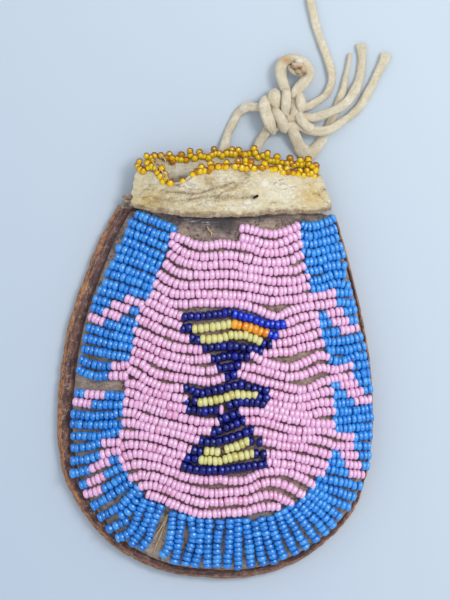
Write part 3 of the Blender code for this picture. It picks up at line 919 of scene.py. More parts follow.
@dataclass(frozen=True)
class Buckskin(Finish):
    """Soft cream skin of the collar, creased and stained."""

    name: str = "buckskin"
    usual: Colour = (0.72, 0.62, 0.41)
    white: Colour = (0.83, 0.78, 0.64)
    yellow: Colour = (0.64, 0.47, 0.19)
    crease: Colour = (0.22, 0.135, 0.088)
    smoke: Colour = (0.40, 0.295, 0.20)

    def wire(self, bench: Bench) -> None:
        """Wire whitened, yellowed and dirty patches, cracks and flakes, with painted light inside
        the mouth and painted shade along the folds, along the hem and above the front lip.

        Args:
            bench: the finish's bench.
        """
        here = bench.here()
        rub_and_light_mask, soiled_and_shaded = bench.attribute("rubbed_and_lit"), bench.attribute("soiled_and_shaded")
        grain = EFFECTS.place(bench, Effect.GRAIN, place=here, scale=1700.0)
        folds = EFFECTS.place(bench, Effect.STREAKS, pattern=here, along=130.0, across=480.0)
        warm = EFFECTS.place(bench, Effect.STAINS, place=here, scale=60.0, shift=2.2,
                             cover=0.62)
        smoke = EFFECTS.place(bench, Effect.STAINS, place=here, scale=260.0, shift=0.9,
                              cover=0.55)
        skin = bench.noise(here, 560.0, 5.0, 0.72)
        rubbed_and_lit = bench.times(rub_and_light_mask, bench.ramp(folds["Height"], 0.40, 0.54))
        yellowed = bench.maths("ADD", bench.times(warm["Mask"], 0.35),
                               bench.attribute("yellowed"), True)
        cracks = bench.times(folds["Lines"], bench.plus(0.16, bench.times(soiled_and_shaded, 0.45)))
        flakes = bench.times(bench.ramp(skin, 0.50, 0.54),
                             bench.plus(0.06, bench.times(rub_and_light_mask, 0.75)))
        torn = bench.ramp(bench.maths("ABSOLUTE", bench.maths("SUBTRACT", skin, 0.49)),
                          0.018, 0.0)
        torn = bench.times(torn, bench.plus(0.03, bench.times(soiled_and_shaded, 0.5)))
        pits = bench.times(grain["Hollows"], bench.plus(0.10, bench.times(soiled_and_shaded, 0.45)))
        # The crease attribute is painted shade; rubbed also holds painted light and soiled painted
        # shadow, both inside the mouth.
        colour = bench.layered(
            self.usual, (rubbed_and_lit, 1.0, self.white), (yellowed, 1.0, self.yellow),
            (bench.times(smoke["Mask"], soiled_and_shaded), 0.7, self.smoke), (cracks, 1.0, self.crease),
            (bench.attribute("crease"), 1.0, self.crease), (flakes, 1.0, self.white),
            (torn, 1.0, self.crease), (pits, 1.0, self.smoke),
            (grain["Crests"], 0.35, self.white))
        height = bench.plus(bench.times(folds["Height"], 0.5), bench.times(grain["Height"], 0.4))
        height = bench.plus(height, bench.times(bench.ramp(skin, 0.47, 0.54), 0.07))
        bench.dress(colour, 0.85, height, 1.0 * MM)


@dataclass(frozen=True)
class ThongSkin(Finish):
    """Pale skin cut into thongs."""

    name: str = "thong_skin"
    usual: Colour = (0.68, 0.60, 0.45)
    grimy: Colour = (0.42, 0.345, 0.235)
    stain: Colour = (0.26, 0.155, 0.080)
    pale_and_highlight: Colour = (0.90, 0.88, 0.80)
    scorched: Colour = (0.50, 0.285, 0.115)

    def wire(self, bench: Bench) -> None:
        """Wire grimy stains, fibres and the painted marks, one of them a painted highlight.

        Args:
            bench: the finish's bench.
        """
        here = bench.here()
        grain = EFFECTS.place(bench, Effect.GRAIN, place=here, scale=1500.0)
        darker = EFFECTS.place(bench, Effect.STAINS, place=here, scale=220.0, shift=3.3,
                              cover=0.45)
        fibres = EFFECTS.place(bench, Effect.STREAKS, pattern=bench.pattern(), along=500.0,
                               across=9.0)
        colour = bench.layered(
            self.usual, (darker["Mask"], 0.3, self.grimy), (fibres["Dark"], 0.25, self.grimy),
            (grain["Hollows"], 0.25, self.grimy), (grain["Crests"], 0.3, self.pale_and_highlight),
            (bench.attribute("scorched"), 1.0, self.scorched),
            (bench.attribute("stained"), 1.0, self.stain),
            (bench.attribute("pale_and_highlight"), 1.0, self.pale_and_highlight))
        height = bench.plus(bench.times(grain["Height"], 0.5), bench.times(fibres["Height"], 0.5))
        bench.dress(colour, 0.92, height, 0.4 * MM)


@dataclass(frozen=True)
class Sinew(Finish):
    """Dried sinew thread."""

    name: str = "sinew"
    usual: Colour = (0.60, 0.45, 0.26)
    dark: Colour = (0.30, 0.19, 0.10)

    def wire(self, bench: Bench) -> None:
        """Wire the fibres.

        Args:
            bench: the finish's bench.
        """
        fibres = EFFECTS.place(bench, Effect.STREAKS, pattern=bench.pattern(), along=900.0,
                               across=6.0)
        colour = bench.mixed(fibres["Dark"], self.usual, self.dark)
        bench.dress(colour, 0.5, fibres["Height"], 0.1 * MM)


@dataclass(frozen=True)
class HoleShade(Finish):
    """Near-black painted shade for the inside of a stitch hole."""

    name: str = "painted_hole_shade"
    usual: Colour = (0.012, 0.009, 0.007)
    lighter: Colour = (0.036, 0.027, 0.021)

    def wire(self, bench: Bench) -> None:
        """Wire the grain.

        Args:
            bench: the finish's bench.
        """
        grain = EFFECTS.place(bench, Effect.GRAIN, place=bench.here(), scale=1500.0)
        colour = bench.mixed(grain["Hollows"], self.usual, self.lighter)
        bench.set_shader({"Base Color": colour, "Roughness": 1.0})


@dataclass(frozen=True)
class PaleBlueCard(Finish):
    """The plain pale blue card that the pouch lies on."""

    name: str = "pale_blue_card"
    deep: Colour = (0.526, 0.619, 0.756)
    pale: Colour = (0.660, 0.750, 0.850)
    shown: float = 0.90
    slope: Way = (1.25, 0.867, 0.0)
    half: float = 0.14

    def wire(self, bench: Bench) -> None:
        """Wire the slow change of tone and the share that is seen.

        Args:
            bench: the finish's bench.
        """
        across = bench.vectors("DOT_PRODUCT", bench.here(), self.slope)["Value"]
        share = bench.node("ShaderNodeMapRange", {0: across, 1: -self.half, 2: self.half}).outputs[0]
        colour = bench.mixed(share, self.deep, self.pale)
        rays = bench.node("ShaderNodeLightPath").outputs
        seen = bench.maths("ADD", rays["Is Camera Ray"], bench.plus(
            rays["Is Glossy Ray"], rays["Is Transmission Ray"]), True)
        toned = bench.mixed(1.0, colour, (self.shown,) * 3, "MULTIPLY")
        bench.set_shader({"Base Color": bench.mixed(seen, colour, toned), "Roughness": 0.9,
                          "Specular IOR Level": 0.2})


class Glass(Enum):
    """The bead colours, by the letter that the drawn rows use."""

    BLUE = "b"
    PINK = "p"
    NAVY = "n"
    COBALT = "c"
    YELLOW = "y"
    ORANGE = "o"


# The drawn rows, one to a line. Each starts with its beads in order, a letter and a count for every
# colour, and goes on with the pixels that it passes from its first bead to its last. A letter with
# no count fills the row at the usual pitch.
LEFT_LANE = """
b9 138,215 156,222 174,229
b9 131,223 150,231 168,238
b9 128,232 147,239 165,247
b9 125,240 143,248 162,257
b9 120,248 140,256 159,265
b9 118,257 137,263 156,271
b9 113,265 133,272 153,280
b9 108,273 130,280 151,288
b9 106,283 126,289 147,296
b6p4 100,290 122,297 142,304
b4p4b2 96,299 116,305 137,312
b3p4b4 94,308 114,315 136,324
p4b7 91,317 110,324 133,332
b10 89,328 108,334 131,340
b10 86,338 106,343 131,348
b11 84,349 104,353 128,358
b7p4 82,360 96,365 108,366 128,365
b7p4 79,370 93,376 108,376 126,376
b2p4b4 78,393 100,395 123,396
p4b6 76,402 98,405 121,405
b11 74,414 97,416 121,413
b11 73,424 97,425 121,424
b10 74,436 97,436 119,432
b6p4 73,448 90,447 100,443 119,442
b6p4 73,461 90,459 100,455 119,451
b4p4b2 72,474 88,470 104,463 118,459
b2p4b4 81,485 100,478 121,467
p4b6 86,494 103,489 127,475
"""

BOTTOM_LANE = """
b 93,506 112,495 130,483
b 100,517 120,506 137,488
b4 110,528 118,525 126,521
b5 122,515 132,508 139,494
b 118,538 131,531 138,515 145,501
b 132,543 143,528 149,515 152,504
b 142,547 149,538 152,526 161,507
b 163,555 169,546 171,532 173,514
b 175,561 178,545 182,516
b 185,563 190,548 193,535 191,518
b 195,564 200,545 200,520
b 207,565 208,545 209,521
b 217,565 217,548 220,522
b 227,565 229,545 230,521
b 238,567 238,545 238,520
b 251,565 249,545 246,521
b 263,563 259,545 255,523
b 274,561 268,540 261,519
b 283,556 276,538 270,518
b 295,552 286,533 278,514
b 305,546 296,530 284,511
b 316,539 305,524 291,506
b 325,532 313,518 299,504
b 333,525 320,512 303,499
b 339,516 324,505 308,494
b 348,507 331,500 312,489
b 353,497 336,491 316,485
b 359,486 340,482 319,478
"""

RIGHT_LANE = """
b9 302,225 308,227 321,224 333,219
b9 301,235 309,236 322,233 335,229
b9 302,244 310,244 323,242 336,238
b9 303,252 311,253 325,250 340,247
b9 306,262 318,261 330,257 342,255
b9 307,272 318,270 330,266 343,266
b9 311,281 322,279 332,275 344,275
b9 313,289 325,287 336,283 347,286
b4 337,293 350,293
b4 338,302 352,303
b2p4b3 320,316 333,313 354,310
b3p4b2 320,324 334,322 355,320
b4p4 322,333 335,332 356,328
b9 325,342 342,341 360,337
b9 328,351 345,350 363,346
b9 330,360 342,361 352,357 364,355
b4 353,366 367,364
b4 353,376 368,373
b2p4b3 332,386 348,384 369,381
b3p4b2 334,395 352,393 370,389
b5p4 334,404 352,402 369,400
b9 336,412 352,411 370,408
b9 335,421 352,419 371,417
b9 336,429 352,428 370,426
b4 355,437 370,435
b4 354,446 369,446
b2p4b3 333,454 350,455 369,455
b4p4b2 329,461 345,464 368,466
b5p4 328,469 345,473 362,475
"""

FIELD = """
p 242,228 250,229 262,233 275,234 287,231 298,226
p 242,238 252,240 265,244 275,245 287,240 299,235
p 173,236 184,240 197,245 208,246 222,244 237,245 251,248 266,253 280,252 291,249 300,244
p 172,244 181,251 192,255 208,257 226,255 241,257 262,262 282,262 291,260 301,255
p 170,254 178,260 190,264 206,266 225,264 241,267 262,271 285,271 296,270 303,266
p 165,264 174,270 184,274 208,275 226,274 248,277 272,281 294,281 307,276
p 159,274 169,280 180,285 200,285 226,284 250,287 275,291 297,289 308,286
p 156,284 166,291 176,294 200,294 226,295 250,297 270,301 290,300 310,297 333,293
p 153,294 163,299 173,304 200,303 228,303 250,307 264,312 277,317 290,311 308,306 320,305 334,303
p 149,302 163,309 180,316
p 287,323 299,318 311,315 316,315
p 143,309 157,317 172,323 180,326
p 280,334 294,331 306,327 317,323
p 138,319 153,326 168,333 188,339
p 274,344 287,342 300,339 319,333
p 135,330 150,337 165,344 180,348 200,350
p 265,353 285,352 300,348 322,343
p 136,341 150,347 160,352 175,357 193,360 209,358
p 252,355 263,361 277,366 291,367 305,362 318,355 327,357
p 134,351 149,357 165,364 183,368 203,371 216,369
p 243,366 258,369 275,374 290,377 306,374 320,368 335,369 350,365
p3 133,360 143,364
p 147,368 154,373 173,377 195,380 208,382 223,378
p 239,374 254,379 268,383 290,388 306,389 325,381 350,376
p 130,370 140,376 155,384 167,388 182,388
p 271,393 287,398 303,398 318,393 331,391
p 128,383 139,385 148,391 164,395 185,399
p 270,402 286,406 302,407 318,403 332,402
p 128,392 144,398 160,403 185,409
p 267,408 280,411 293,414 308,415 320,412 333,411
p 126,402 142,406 158,411 181,417 202,422 217,422
p 241,411 262,412 278,417 300,421 316,423 333,424
p 125,412 134,413 148,419 167,424 193,430 209,431
p 247,421 261,421 275,425 292,430 310,431 325,431 338,435 352,437
p 124,423 134,423 151,428 175,433 197,440
p 255,431 272,435 292,439 312,439 325,442 337,446 351,446
p 122,434 140,435 157,438 175,444 190,449
p 264,441 283,446 300,447 315,451 329,455
p 123,446 134,444 152,447 168,452 183,456
p 268,454 290,456 310,461 326,465
p 122,459 131,454 142,454 160,458 179,464
p 269,462 284,464 305,469 322,474
p 125,467 137,464 154,466 172,472 190,478 206,480 221,479 231,481 246,480 258,474 \
272,471 286,472 300,477 314,485
p 131,478 143,475 160,478 178,486 197,491 212,493 230,492 248,490 260,484 273,482 285,485 303,495
p 141,486 153,485 170,491 185,498 205,503 230,501 248,500 260,496 274,495 283,499 291,504
p 148,494 160,498 175,505 190,511 203,514 225,513 248,511 262,507 278,507
"""

FIGURE = """
n9 185,317 205,316 230,312
c10 235,314 250,318 266,324 283,325
n2 183,328 189,328
y7 195,329 212,327 229,324
o7 234,324 250,328 266,333
c2 270,334 275,336
n2 192,338 198,340
y12 203,339 216,339 228,336 240,335 252,338 260,341
n2 264,343 270,344
n10 205,348 228,346 245,347 261,351
n7 213,359 230,356 247,357
n4 219,368 238,366
n2 227,378 234,375
n14 186,388 202,393 221,389 238,385 253,388 266,391
n2 187,401 195,401
y11 200,403 212,401 224,398 234,395 255,395
n2 259,397 266,398
n6 188,410 203,411 217,410
p1 221,410
n7 230,405 245,401 263,404
n4 220,420 238,413
n6 213,432 228,427 243,421
n9 201,441 215,442 230,438 252,430
n2 194,450 200,451
y3 207,451 217,452
y5 227,449 237,446 247,441
n2 251,441 259,442
n2 187,458 195,459
y11 201,460 218,461 234,457 252,454
n2 256,454 264,454
n15 184,466 203,470 230,469 250,466 266,464
"""


@dataclass
class BeadString:
    """A bead's size and how evenly the beads sit on their string.

    Args:
        diameter: across the string.
        pitch: from one bead to the next.
        thickness: along the string.
        lift: gap between the hide and the beads.
        wander: how far a bead strays from its row.
        bob: how far a bead strays up or down.
        tilt: how far a bead leans, in radians.
        ring: radius of the ring's middle line, as a share of the diameter.
        hole: radius of the hole, as a share of the diameter.
        uneven: share by which diameters differ.
        patchy: share by which thicknesses differ.
        thicknesses: least and greatest share of the usual thickness.
        stretches: how far a row may squeeze or stretch its beads, as shares.
    """

    diameter: float = 2.46 * MM
    pitch: float = 1.22 * MM
    thickness: float = 1.37 * MM
    lift: float = -0.46 * MM
    wander: float = 0.07 * MM
    bob: float = 0.04 * MM
    tilt: float = 0.07
    ring: float = 0.20
    hole: float = 0.08
    uneven: float = 0.045
    patchy: float = 0.11
    thicknesses: tuple[float, float] = (0.72, 1.34)
    stretches: tuple[float, float] = (0.8, 1.25)


class BeadTree:
    """The Geometry Nodes tree that turns marked points into beads."""

    SIDES_AROUND = 12
    SIDES_THROUGH = 8
    SHADE_SEED = 7.0

    def __init__(self) -> None:
        """Build the tree, with named inputs for the bead's sizes and the seed."""
        self.tree = bpy.data.node_groups.new("beads_on_string", "GeometryNodeTree")
        sockets = [("Geometry", "INPUT", "Geometry"), ("Bead Diameter", "INPUT", "Float"),
                   ("Bead Thickness", "INPUT", "Float"), ("Ring Share", "INPUT", "Float"),
                   ("Hole Share", "INPUT", "Float"), ("Seed", "INPUT", "Int"),
                   ("Glass", "INPUT", "Material"), ("Geometry", "OUTPUT", "Geometry")]
        for name, side, kind in sockets:
            self.tree.interface.new_socket(name, in_out=side, socket_type="NodeSocket" + kind)
        self._wire()

    def _wire(self) -> None:
        """Wire one rounded ring on each point, turned along its string."""
        bench = Bench(self.tree)
        given = bench.node("NodeGroupInput").outputs
        diameter, ring_share = given["Bead Diameter"], given["Ring Share"]
        around = bench.node("GeometryNodeCurvePrimitiveCircle", {
            "Resolution": self.SIDES_AROUND, "Radius": bench.times(diameter, ring_share)})
        section = bench.node("GeometryNodeCurvePrimitiveCircle", {
            "Resolution": self.SIDES_THROUGH, "Radius": 1.0})
        outward, axial = bench.node("ShaderNodeSeparateXYZ", {
            0: bench.node("GeometryNodeInputPosition").outputs[0]}).outputs[:2]
        outer = bench.times(bench.maths("MAXIMUM", outward, 0.0),
                            bench.maths("SUBTRACT", 0.5, ring_share))
        inner = bench.times(bench.maths("MINIMUM", outward, 0.0),
                            bench.maths("SUBTRACT", ring_share, given["Hole Share"]))
        shape = bench.node("ShaderNodeCombineXYZ", {
            0: bench.times(diameter, bench.plus(outer, inner)),
            1: bench.times(axial, bench.times(given["Bead Thickness"], 0.5))})
        squeezed = bench.node("GeometryNodeSetPosition", {"Geometry": section.outputs[0],
                                                          "Position": shape.outputs[0]})
        ring = bench.node("GeometryNodeCurveToMesh", {"Curve": around.outputs[0],
                                                      "Profile Curve": squeezed.outputs[0]})
        along, size = (bench.node("GeometryNodeInputNamedAttribute", {"Name": name},
                                  {"data_type": "FLOAT_VECTOR"}).outputs[0]
                       for name in ("along", "size"))
        turn = bench.node("FunctionNodeAlignRotationToVector", {"Vector": along}, {"axis": "Z"})
        copies = bench.node("GeometryNodeInstanceOnPoints", {
            "Points": given["Geometry"], "Instance": ring.outputs[0],
            "Rotation": turn.outputs[0], "Scale": size})
        tint = bench.node("FunctionNodeRandomValue", {
            "Seed": bench.plus(given["Seed"], self.SHADE_SEED)}, {"data_type": "FLOAT"})
        spot = bench.node("GeometryNodeInputPosition")
        beads = copies.outputs[0]
        for name, value, kind in (("shade", tint.outputs[1], "FLOAT"),
                                  ("middle", spot.outputs[0], "FLOAT_VECTOR")):
            beads = bench.node("GeometryNodeStoreNamedAttribute", {
                "Geometry": beads, "Name": name, "Value": value},
                {"data_type": kind, "domain": "INSTANCE"}).outputs[0]
        real = bench.node("GeometryNodeRealizeInstances", {"Geometry": beads})
        smooth = bench.node("GeometryNodeSetShadeSmooth", {"Geometry": real.outputs[0]})
        dressed = bench.node("GeometryNodeSetMaterial", {"Geometry": smooth.outputs[0],
                                                         "Material": given["Glass"]})
        bench.feed(bench.node("NodeGroupOutput").inputs[0], dressed.outputs[0])

    def beads(self, name: str, places: np.ndarray, along: np.ndarray, sizes: np.ndarray,
              string: BeadString, glass: bpy.types.Material, seed: int) -> bpy.types.Object:
        """Make the beads of one piece.

        Args:
            name: the piece's name.
            places: the middle of each bead.
            along: the direction of its string there.
            sizes: each bead's own scale across and along its string.
            string: sizes of the beads.
            glass: their finish.
            seed: seed of their differences.

        Returns:
            A plain mesh with every bead.
        """
        cloud = bpy.data.meshes.new(name)
        cloud.from_pydata([tuple(place) for place in places], [], [])
        for key, values in (("along", along), ("size", sizes)):
            layer = cloud.attributes.new(key, "FLOAT_VECTOR", "POINT")
            layer.data.foreach_set("vector", np.asarray(values, dtype=np.float32).ravel())
        carrier = linked(name + "_points", cloud)
        modifier = carrier.modifiers.new("beads", "NODES")
        modifier.node_group = self.tree
        values = {"Bead Diameter": string.diameter, "Bead Thickness": string.thickness,
                  "Ring Share": string.ring, "Hole Share": string.hole, "Seed": seed,
                  "Glass": glass}
        for item in self.tree.interface.items_tree:
            if item.name in values:
                modifier[item.identifier] = values[item.name]
        graph = bpy.context.evaluated_depsgraph_get()
        mesh = bpy.data.meshes.new_from_object(carrier.evaluated_get(graph),
                                               preserve_all_data_layers=True, depsgraph=graph)
        mesh.name = name
        carrier.modifiers.clear()
        bpy.data.objects.remove(carrier)
        return linked(name, mesh)


@dataclass
class Beadwork:
    """All strung beads on the front: the lanes, the field and the figure."""

    string: BeadString = field(default_factory=BeadString)
    drawn: str = LEFT_LANE + BOTTOM_LANE + RIGHT_LANE + FIELD + FIGURE
    finishes: dict[Glass, BeadGlass] = field(default_factory=lambda: {
        Glass.BLUE: BeadGlass("blue_glass", (0.016, 0.180, 0.58), (0.027, 0.250, 0.74),
                              (0.055, 0.33, 0.82), (0.32, 0.57, 0.92), 0.16, 0.4),
        Glass.PINK: BeadGlass("pink_glass", (0.76, 0.39, 0.61), (0.83, 0.49, 0.73),
                              (0.85, 0.53, 0.76), (0.90, 0.73, 0.87), 0.18),
        Glass.NAVY: BeadGlass("navy_glass", (0.002, 0.003, 0.08), (0.002, 0.004, 0.15),
                              (0.004, 0.008, 0.24), (0.12, 0.16, 0.55), 0.07, 0.0, 1.42),
        Glass.COBALT: BeadGlass("cobalt_glass", (0.004, 0.016, 0.34), (0.005, 0.024, 0.50),
                                (0.008, 0.042, 0.62), (0.16, 0.28, 0.85), 0.09, 0.15, 1.42),
        Glass.YELLOW: BeadGlass("yellow_glass", (0.59, 0.53, 0.16), (0.70, 0.65, 0.26),
                                (0.74, 0.71, 0.35), (0.74, 0.72, 0.42)),
        Glass.ORANGE: BeadGlass("orange_glass", (0.72, 0.23, 0.010), (0.85, 0.32, 0.018),
                                (0.90, 0.40, 0.04), (0.95, 0.58, 0.14), 0.17),
    })
    stands_for: dict[Glass, tuple[str, ...]] = field(default_factory=lambda: {
        Glass.BLUE: ("lane_left_blue", "lane_bottom_blue", "lane_right_blue"),
        Glass.PINK: ("field_", "lane_left_pink", "lane_right_pink"),
        Glass.NAVY: ("figure_navy",), Glass.COBALT: ("figure_cobalt",),
        Glass.YELLOW: ("figure_yellow",), Glass.ORANGE: ("figure_orange",),
    })

    def _rows(self) -> list[tuple[list[Glass], np.ndarray]]:
        """Read the drawn rows.

        Returns:
            For each row its beads in order, and the line that they follow.
        """
        found = []
        for code, *pixels in map(str.split, filter(None, self.drawn.splitlines())):
            guide = DRAWING.flat([pixel.split(",") for pixel in pixels])
            if len(guide) == 1:
                guide = np.vstack([guide - (0.1 * MM, 0.0), guide + (0.1 * MM, 0.0)])
            guide = smooth_line(guide, 8)
            usual = int(round(measured(guide)[-1] / self.string.pitch)) + 1
            colours = [Glass(letter) for letter, count in re.findall(r"([a-z])(\d*)", code)
                       for _ in range(int(count or usual))]
            found.append((colours, guide))
        return found

    def strung(self) -> dict[Glass, tuple[np.ndarray, ...]]:
        """String the beads along their rows.

        Returns:
            For each glass where its beads sit, which way their strings run, and their scales.
        """
        draw = np.random.default_rng(SEED)
        found: dict[Glass, list[tuple[np.ndarray, ...]]] = {glass: [] for glass in Glass}
        string, height = self.string, self.string.diameter / 2 + self.string.lift
        for colours, guide in self._rows():
            count = len(colours)
            thick = np.clip(draw.normal(1.0, string.patchy, count), *string.thicknesses)
            shares = np.concatenate([[0.0], np.cumsum((thick[1:] + thick[:-1]) / 2)])
            room = measured(guide)[-1] / (string.pitch * max(shares[-1], 1.0))
            room = np.clip(room, *string.stretches)
            shares = shares / shares[-1] if count > 1 else np.array([0.5])
            wide = draw.normal(1.0, string.uneven, count)
            scales = np.column_stack([wide, wide, thick * room])
            flat = evenly(guide, count, shares)
            flat = DRAWING.raised(flat, FORM.skin_at(flat) + height)
            facing = FORM.facing(flat)
            heights = FORM.skin_at(flat) + height / facing[:, 2]
            flat = flat + draw.normal(0.0, string.wander, (count, 2))
            places = np.column_stack([flat, heights + draw.normal(0, string.bob, count)])
            ahead = np.gradient(evenly(guide, count + 1), axis=0)[:count]
            run = np.column_stack([ahead, np.zeros(count)])
            run = unit(run - facing * (run * facing).sum(axis=1)[:, None])
            run = unit(run + draw.normal(0.0, string.tilt, (count, 3)))
            for glass, *bead in zip(colours, places, run, scales):
                found[glass].append(tuple(bead))
        return {glass: tuple(np.array(column) for column in zip(*beads))
                for glass, beads in found.items()}

    def build(self, tree: BeadTree) -> None:
        """Make one piece of each glass.

        Args:
            tree: the tree that makes the beads.
        """
        for number, (glass, (places, along, sizes)) in enumerate(self.strung().items()):
            kind = glass.name.lower()
            finish = self.finishes[glass].material()
            piece = tree.beads("beads_" + kind, places, along, sizes, self.string, finish,
                               SEED + number)
            nodes = [node for node in sorted(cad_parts)
                     if node.startswith(self.stands_for[glass])]
            settle(piece, finish, nodes)
            LOG.info("%s: %d beads", piece.name, len(places))


@dataclass(frozen=True)
class Crease:
    """A fold line in a skin, drawn through pixels.

    Args:
        line: the pixels that it passes.
        depth: how deep it is pressed, in millimetres; negative for a ridge.
        width: half its width, in millimetres.
        dark: how dark it is.
    """

    line: Points
    depth: float
    width: float
    dark: float = 0.0

    def away(self, places: np.ndarray) -> np.ndarray:
        """Distance of some places from the line, as shares of its half width."""
        drawn = smooth_line(DRAWING.flat(self.line), 6)
        return np.linalg.norm(places[:, None, :2] - drawn, axis=2).min(axis=1) / (self.width * MM)

    def pressed(self, places: np.ndarray) -> np.ndarray:
        """How deep the skin is pressed at some places, with a low lip on either side."""
        away = self.away(places)
        return self.depth * MM * (np.exp(-away ** 2) - 0.45 * np.exp(-(away - 2.0) ** 2))

    def shaded(self, places: np.ndarray) -> np.ndarray:
        """How dark the crease is at some places."""
        return 1.5 * self.dark * np.exp(-self.away(places) ** 2 * 3.2)


@dataclass
class HideBack:
    """The thick hide back with its worn, fibrous rim."""

    around: int = 520
    edge_round: float = 0.8 * MM
    mouth_rim: float = 2.0 * MM
    waviness: float = 0.09 * MM
    wave: float = 9.0 * MM
    ripple: float = 2.2 * MM
    ripple_share: float = 0.45
    chips: int = 60
    chip_widths: tuple[float, float] = (0.25 * MM, 0.9 * MM)
    chip_depths: tuple[float, float] = (0.05 * MM, 0.26 * MM)
    fibre_height: float = 0.15 * MM
    lump_height: float = 0.12 * MM
    low_shade: float = 0.3
    low_row: float = 520.0
    low_fade: float = 9.0 * MM
    # How far in, as a share of the rim, and how high, in millimetres, from the floor to the top
    profile: Points = (
        (0.30, 0.00), (0.08, 0.25), (0.00, 0.70), (0.01, 1.20), (0.03, 1.70), (0.07, 2.20),
        (0.12, 2.60), (0.18, 2.95), (0.25, 3.22), (0.32, 3.40), (0.40, 3.48), (0.48, 3.45),
        (0.56, 3.36), (0.64, 3.28), (0.72, 3.20), (0.80, 3.12), (0.88, 3.05), (1.00, 3.00),
        (1.25, 3.00),
    )
    finish: BrownHide = BrownHide()

    def _loop(self) -> tuple[np.ndarray, np.ndarray, np.ndarray]:
        """Follow the edge round the hide and across the mouth.

        Returns:
            The closed loop, its inward directions and its rim widths.
        """
        across = np.linspace(0.0, 1.0, 42)[1:-1, None]
        top = FORM.edge[-1] + (FORM.edge[0] - FORM.edge[-1]) * across
        loop = np.vstack([FORM.edge, top])
        rims = np.concatenate([FORM.rim, np.full(len(top), self.mouth_rim)])
        inward = np.vstack([FORM.inward, np.tile((0.0, -1.0), (len(top), 1))])
        run = measured(np.vstack([loop, loop[:1]]))
        places = np.linspace(0.0, run[-1], self.around, endpoint=False)
        columns = [np.interp(places, run[:-1], values, period=run[-1])
                   for values in (*loop.T, *inward.T, rims)]
        return np.stack(columns[:2], axis=1), unit(np.stack(columns[2:4], axis=1)), columns[4]

    def build(self) -> None:
        """Make the back."""
        loop, inward, rims = self._loop()
        draw = np.random.default_rng(SEED + 1)
        run = measured(np.vstack([loop, loop[:1]]))
        run, total = run[:-1], run[-1]
        ragged = self.waviness * (Ripple(3, self.wave).at(loop)
                                  + Ripple(4, self.ripple).at(loop) * self.ripple_share)
        chipped = np.zeros(self.around)
        for middle, wide, deep in zip(draw.uniform(0, total, self.chips),
                                      draw.uniform(*self.chip_widths, self.chips),
                                      draw.uniform(*self.chip_depths, self.chips)):
            gap = np.abs(run - middle)
            chipped += deep * np.exp(-(np.minimum(gap, total - gap) / wide) ** 2)
        centre = np.array(FORM.bulge_centre) + DRAWING.origin()
        points, pattern, edges, shadows = [], [], [], []
        for level, (share, height) in enumerate(self.profile):
            inset = rims * share if level else np.minimum(rims * share, self.edge_round)
            near = np.clip(1.0 - share / 0.5, 0.0, 1.0) if height > 0.2 else 0.5
            ring = loop + inward * (inset + (ragged + chipped) * near)[:, None]
            lift = np.full(self.around, height * MM)
            if 0.05 < share < 1.1 and height > 1.0:
                scale = np.minimum(1.0, rims / (2.5 * MM))
                away = np.column_stack([run * 0.35, np.full(self.around, inset.mean() * 2.6)])
                lift += Ripple(5, 1.1 * MM, 14).at(away) * self.fibre_height * scale
                lift += Ripple(6, 5.0 * MM).at(ring) * self.lump_height * scale
                lift -= chipped * 0.5 * np.exp(-(share / 0.3) ** 2)
                high = FORM.back_thickness + (0.95 * MM if share < 0.75 else 0.15 * MM)
                lift = np.minimum(lift, high)
            points.append(np.column_stack([ring + DRAWING.origin(), lift]))
            pattern.append(np.column_stack([run, inset + height * 0.6 * MM]))
            edges += [np.clip(1.4 - share / 0.34, 0.0, 1.0)] * self.around
            dark = math.exp(-((share - 0.93) / 0.14) ** 2) * 0.85 if height > 2.5 else 0.0
            shadows += [dark] * self.around
        count = len(edges)
        faces = (grid_faces(len(self.profile), self.around) + fan_faces(self.around, 0, count)
                 + fan_faces(self.around, count - self.around, count + 1))
        placed = np.vstack(points + [(*centre, 0.0), (*centre, FORM.back_thickness)])
        piece = closed_mesh("hide_back", placed, faces,
                            np.vstack(pattern + [(0.0, 0.0), (0.0, 0.02)]))
        paint_points(piece, "edge", edges + [0.0, 0.0])
        low = np.clip((DRAWING.row(self.low_row) - placed[:, 1]) / self.low_fade, 0, 1)
        paint_points(piece, "shadow", np.maximum(shadows + [0.0, 0.0], self.low_shade * low))
        settle(piece, self.finish.material(), ["back_panel"])


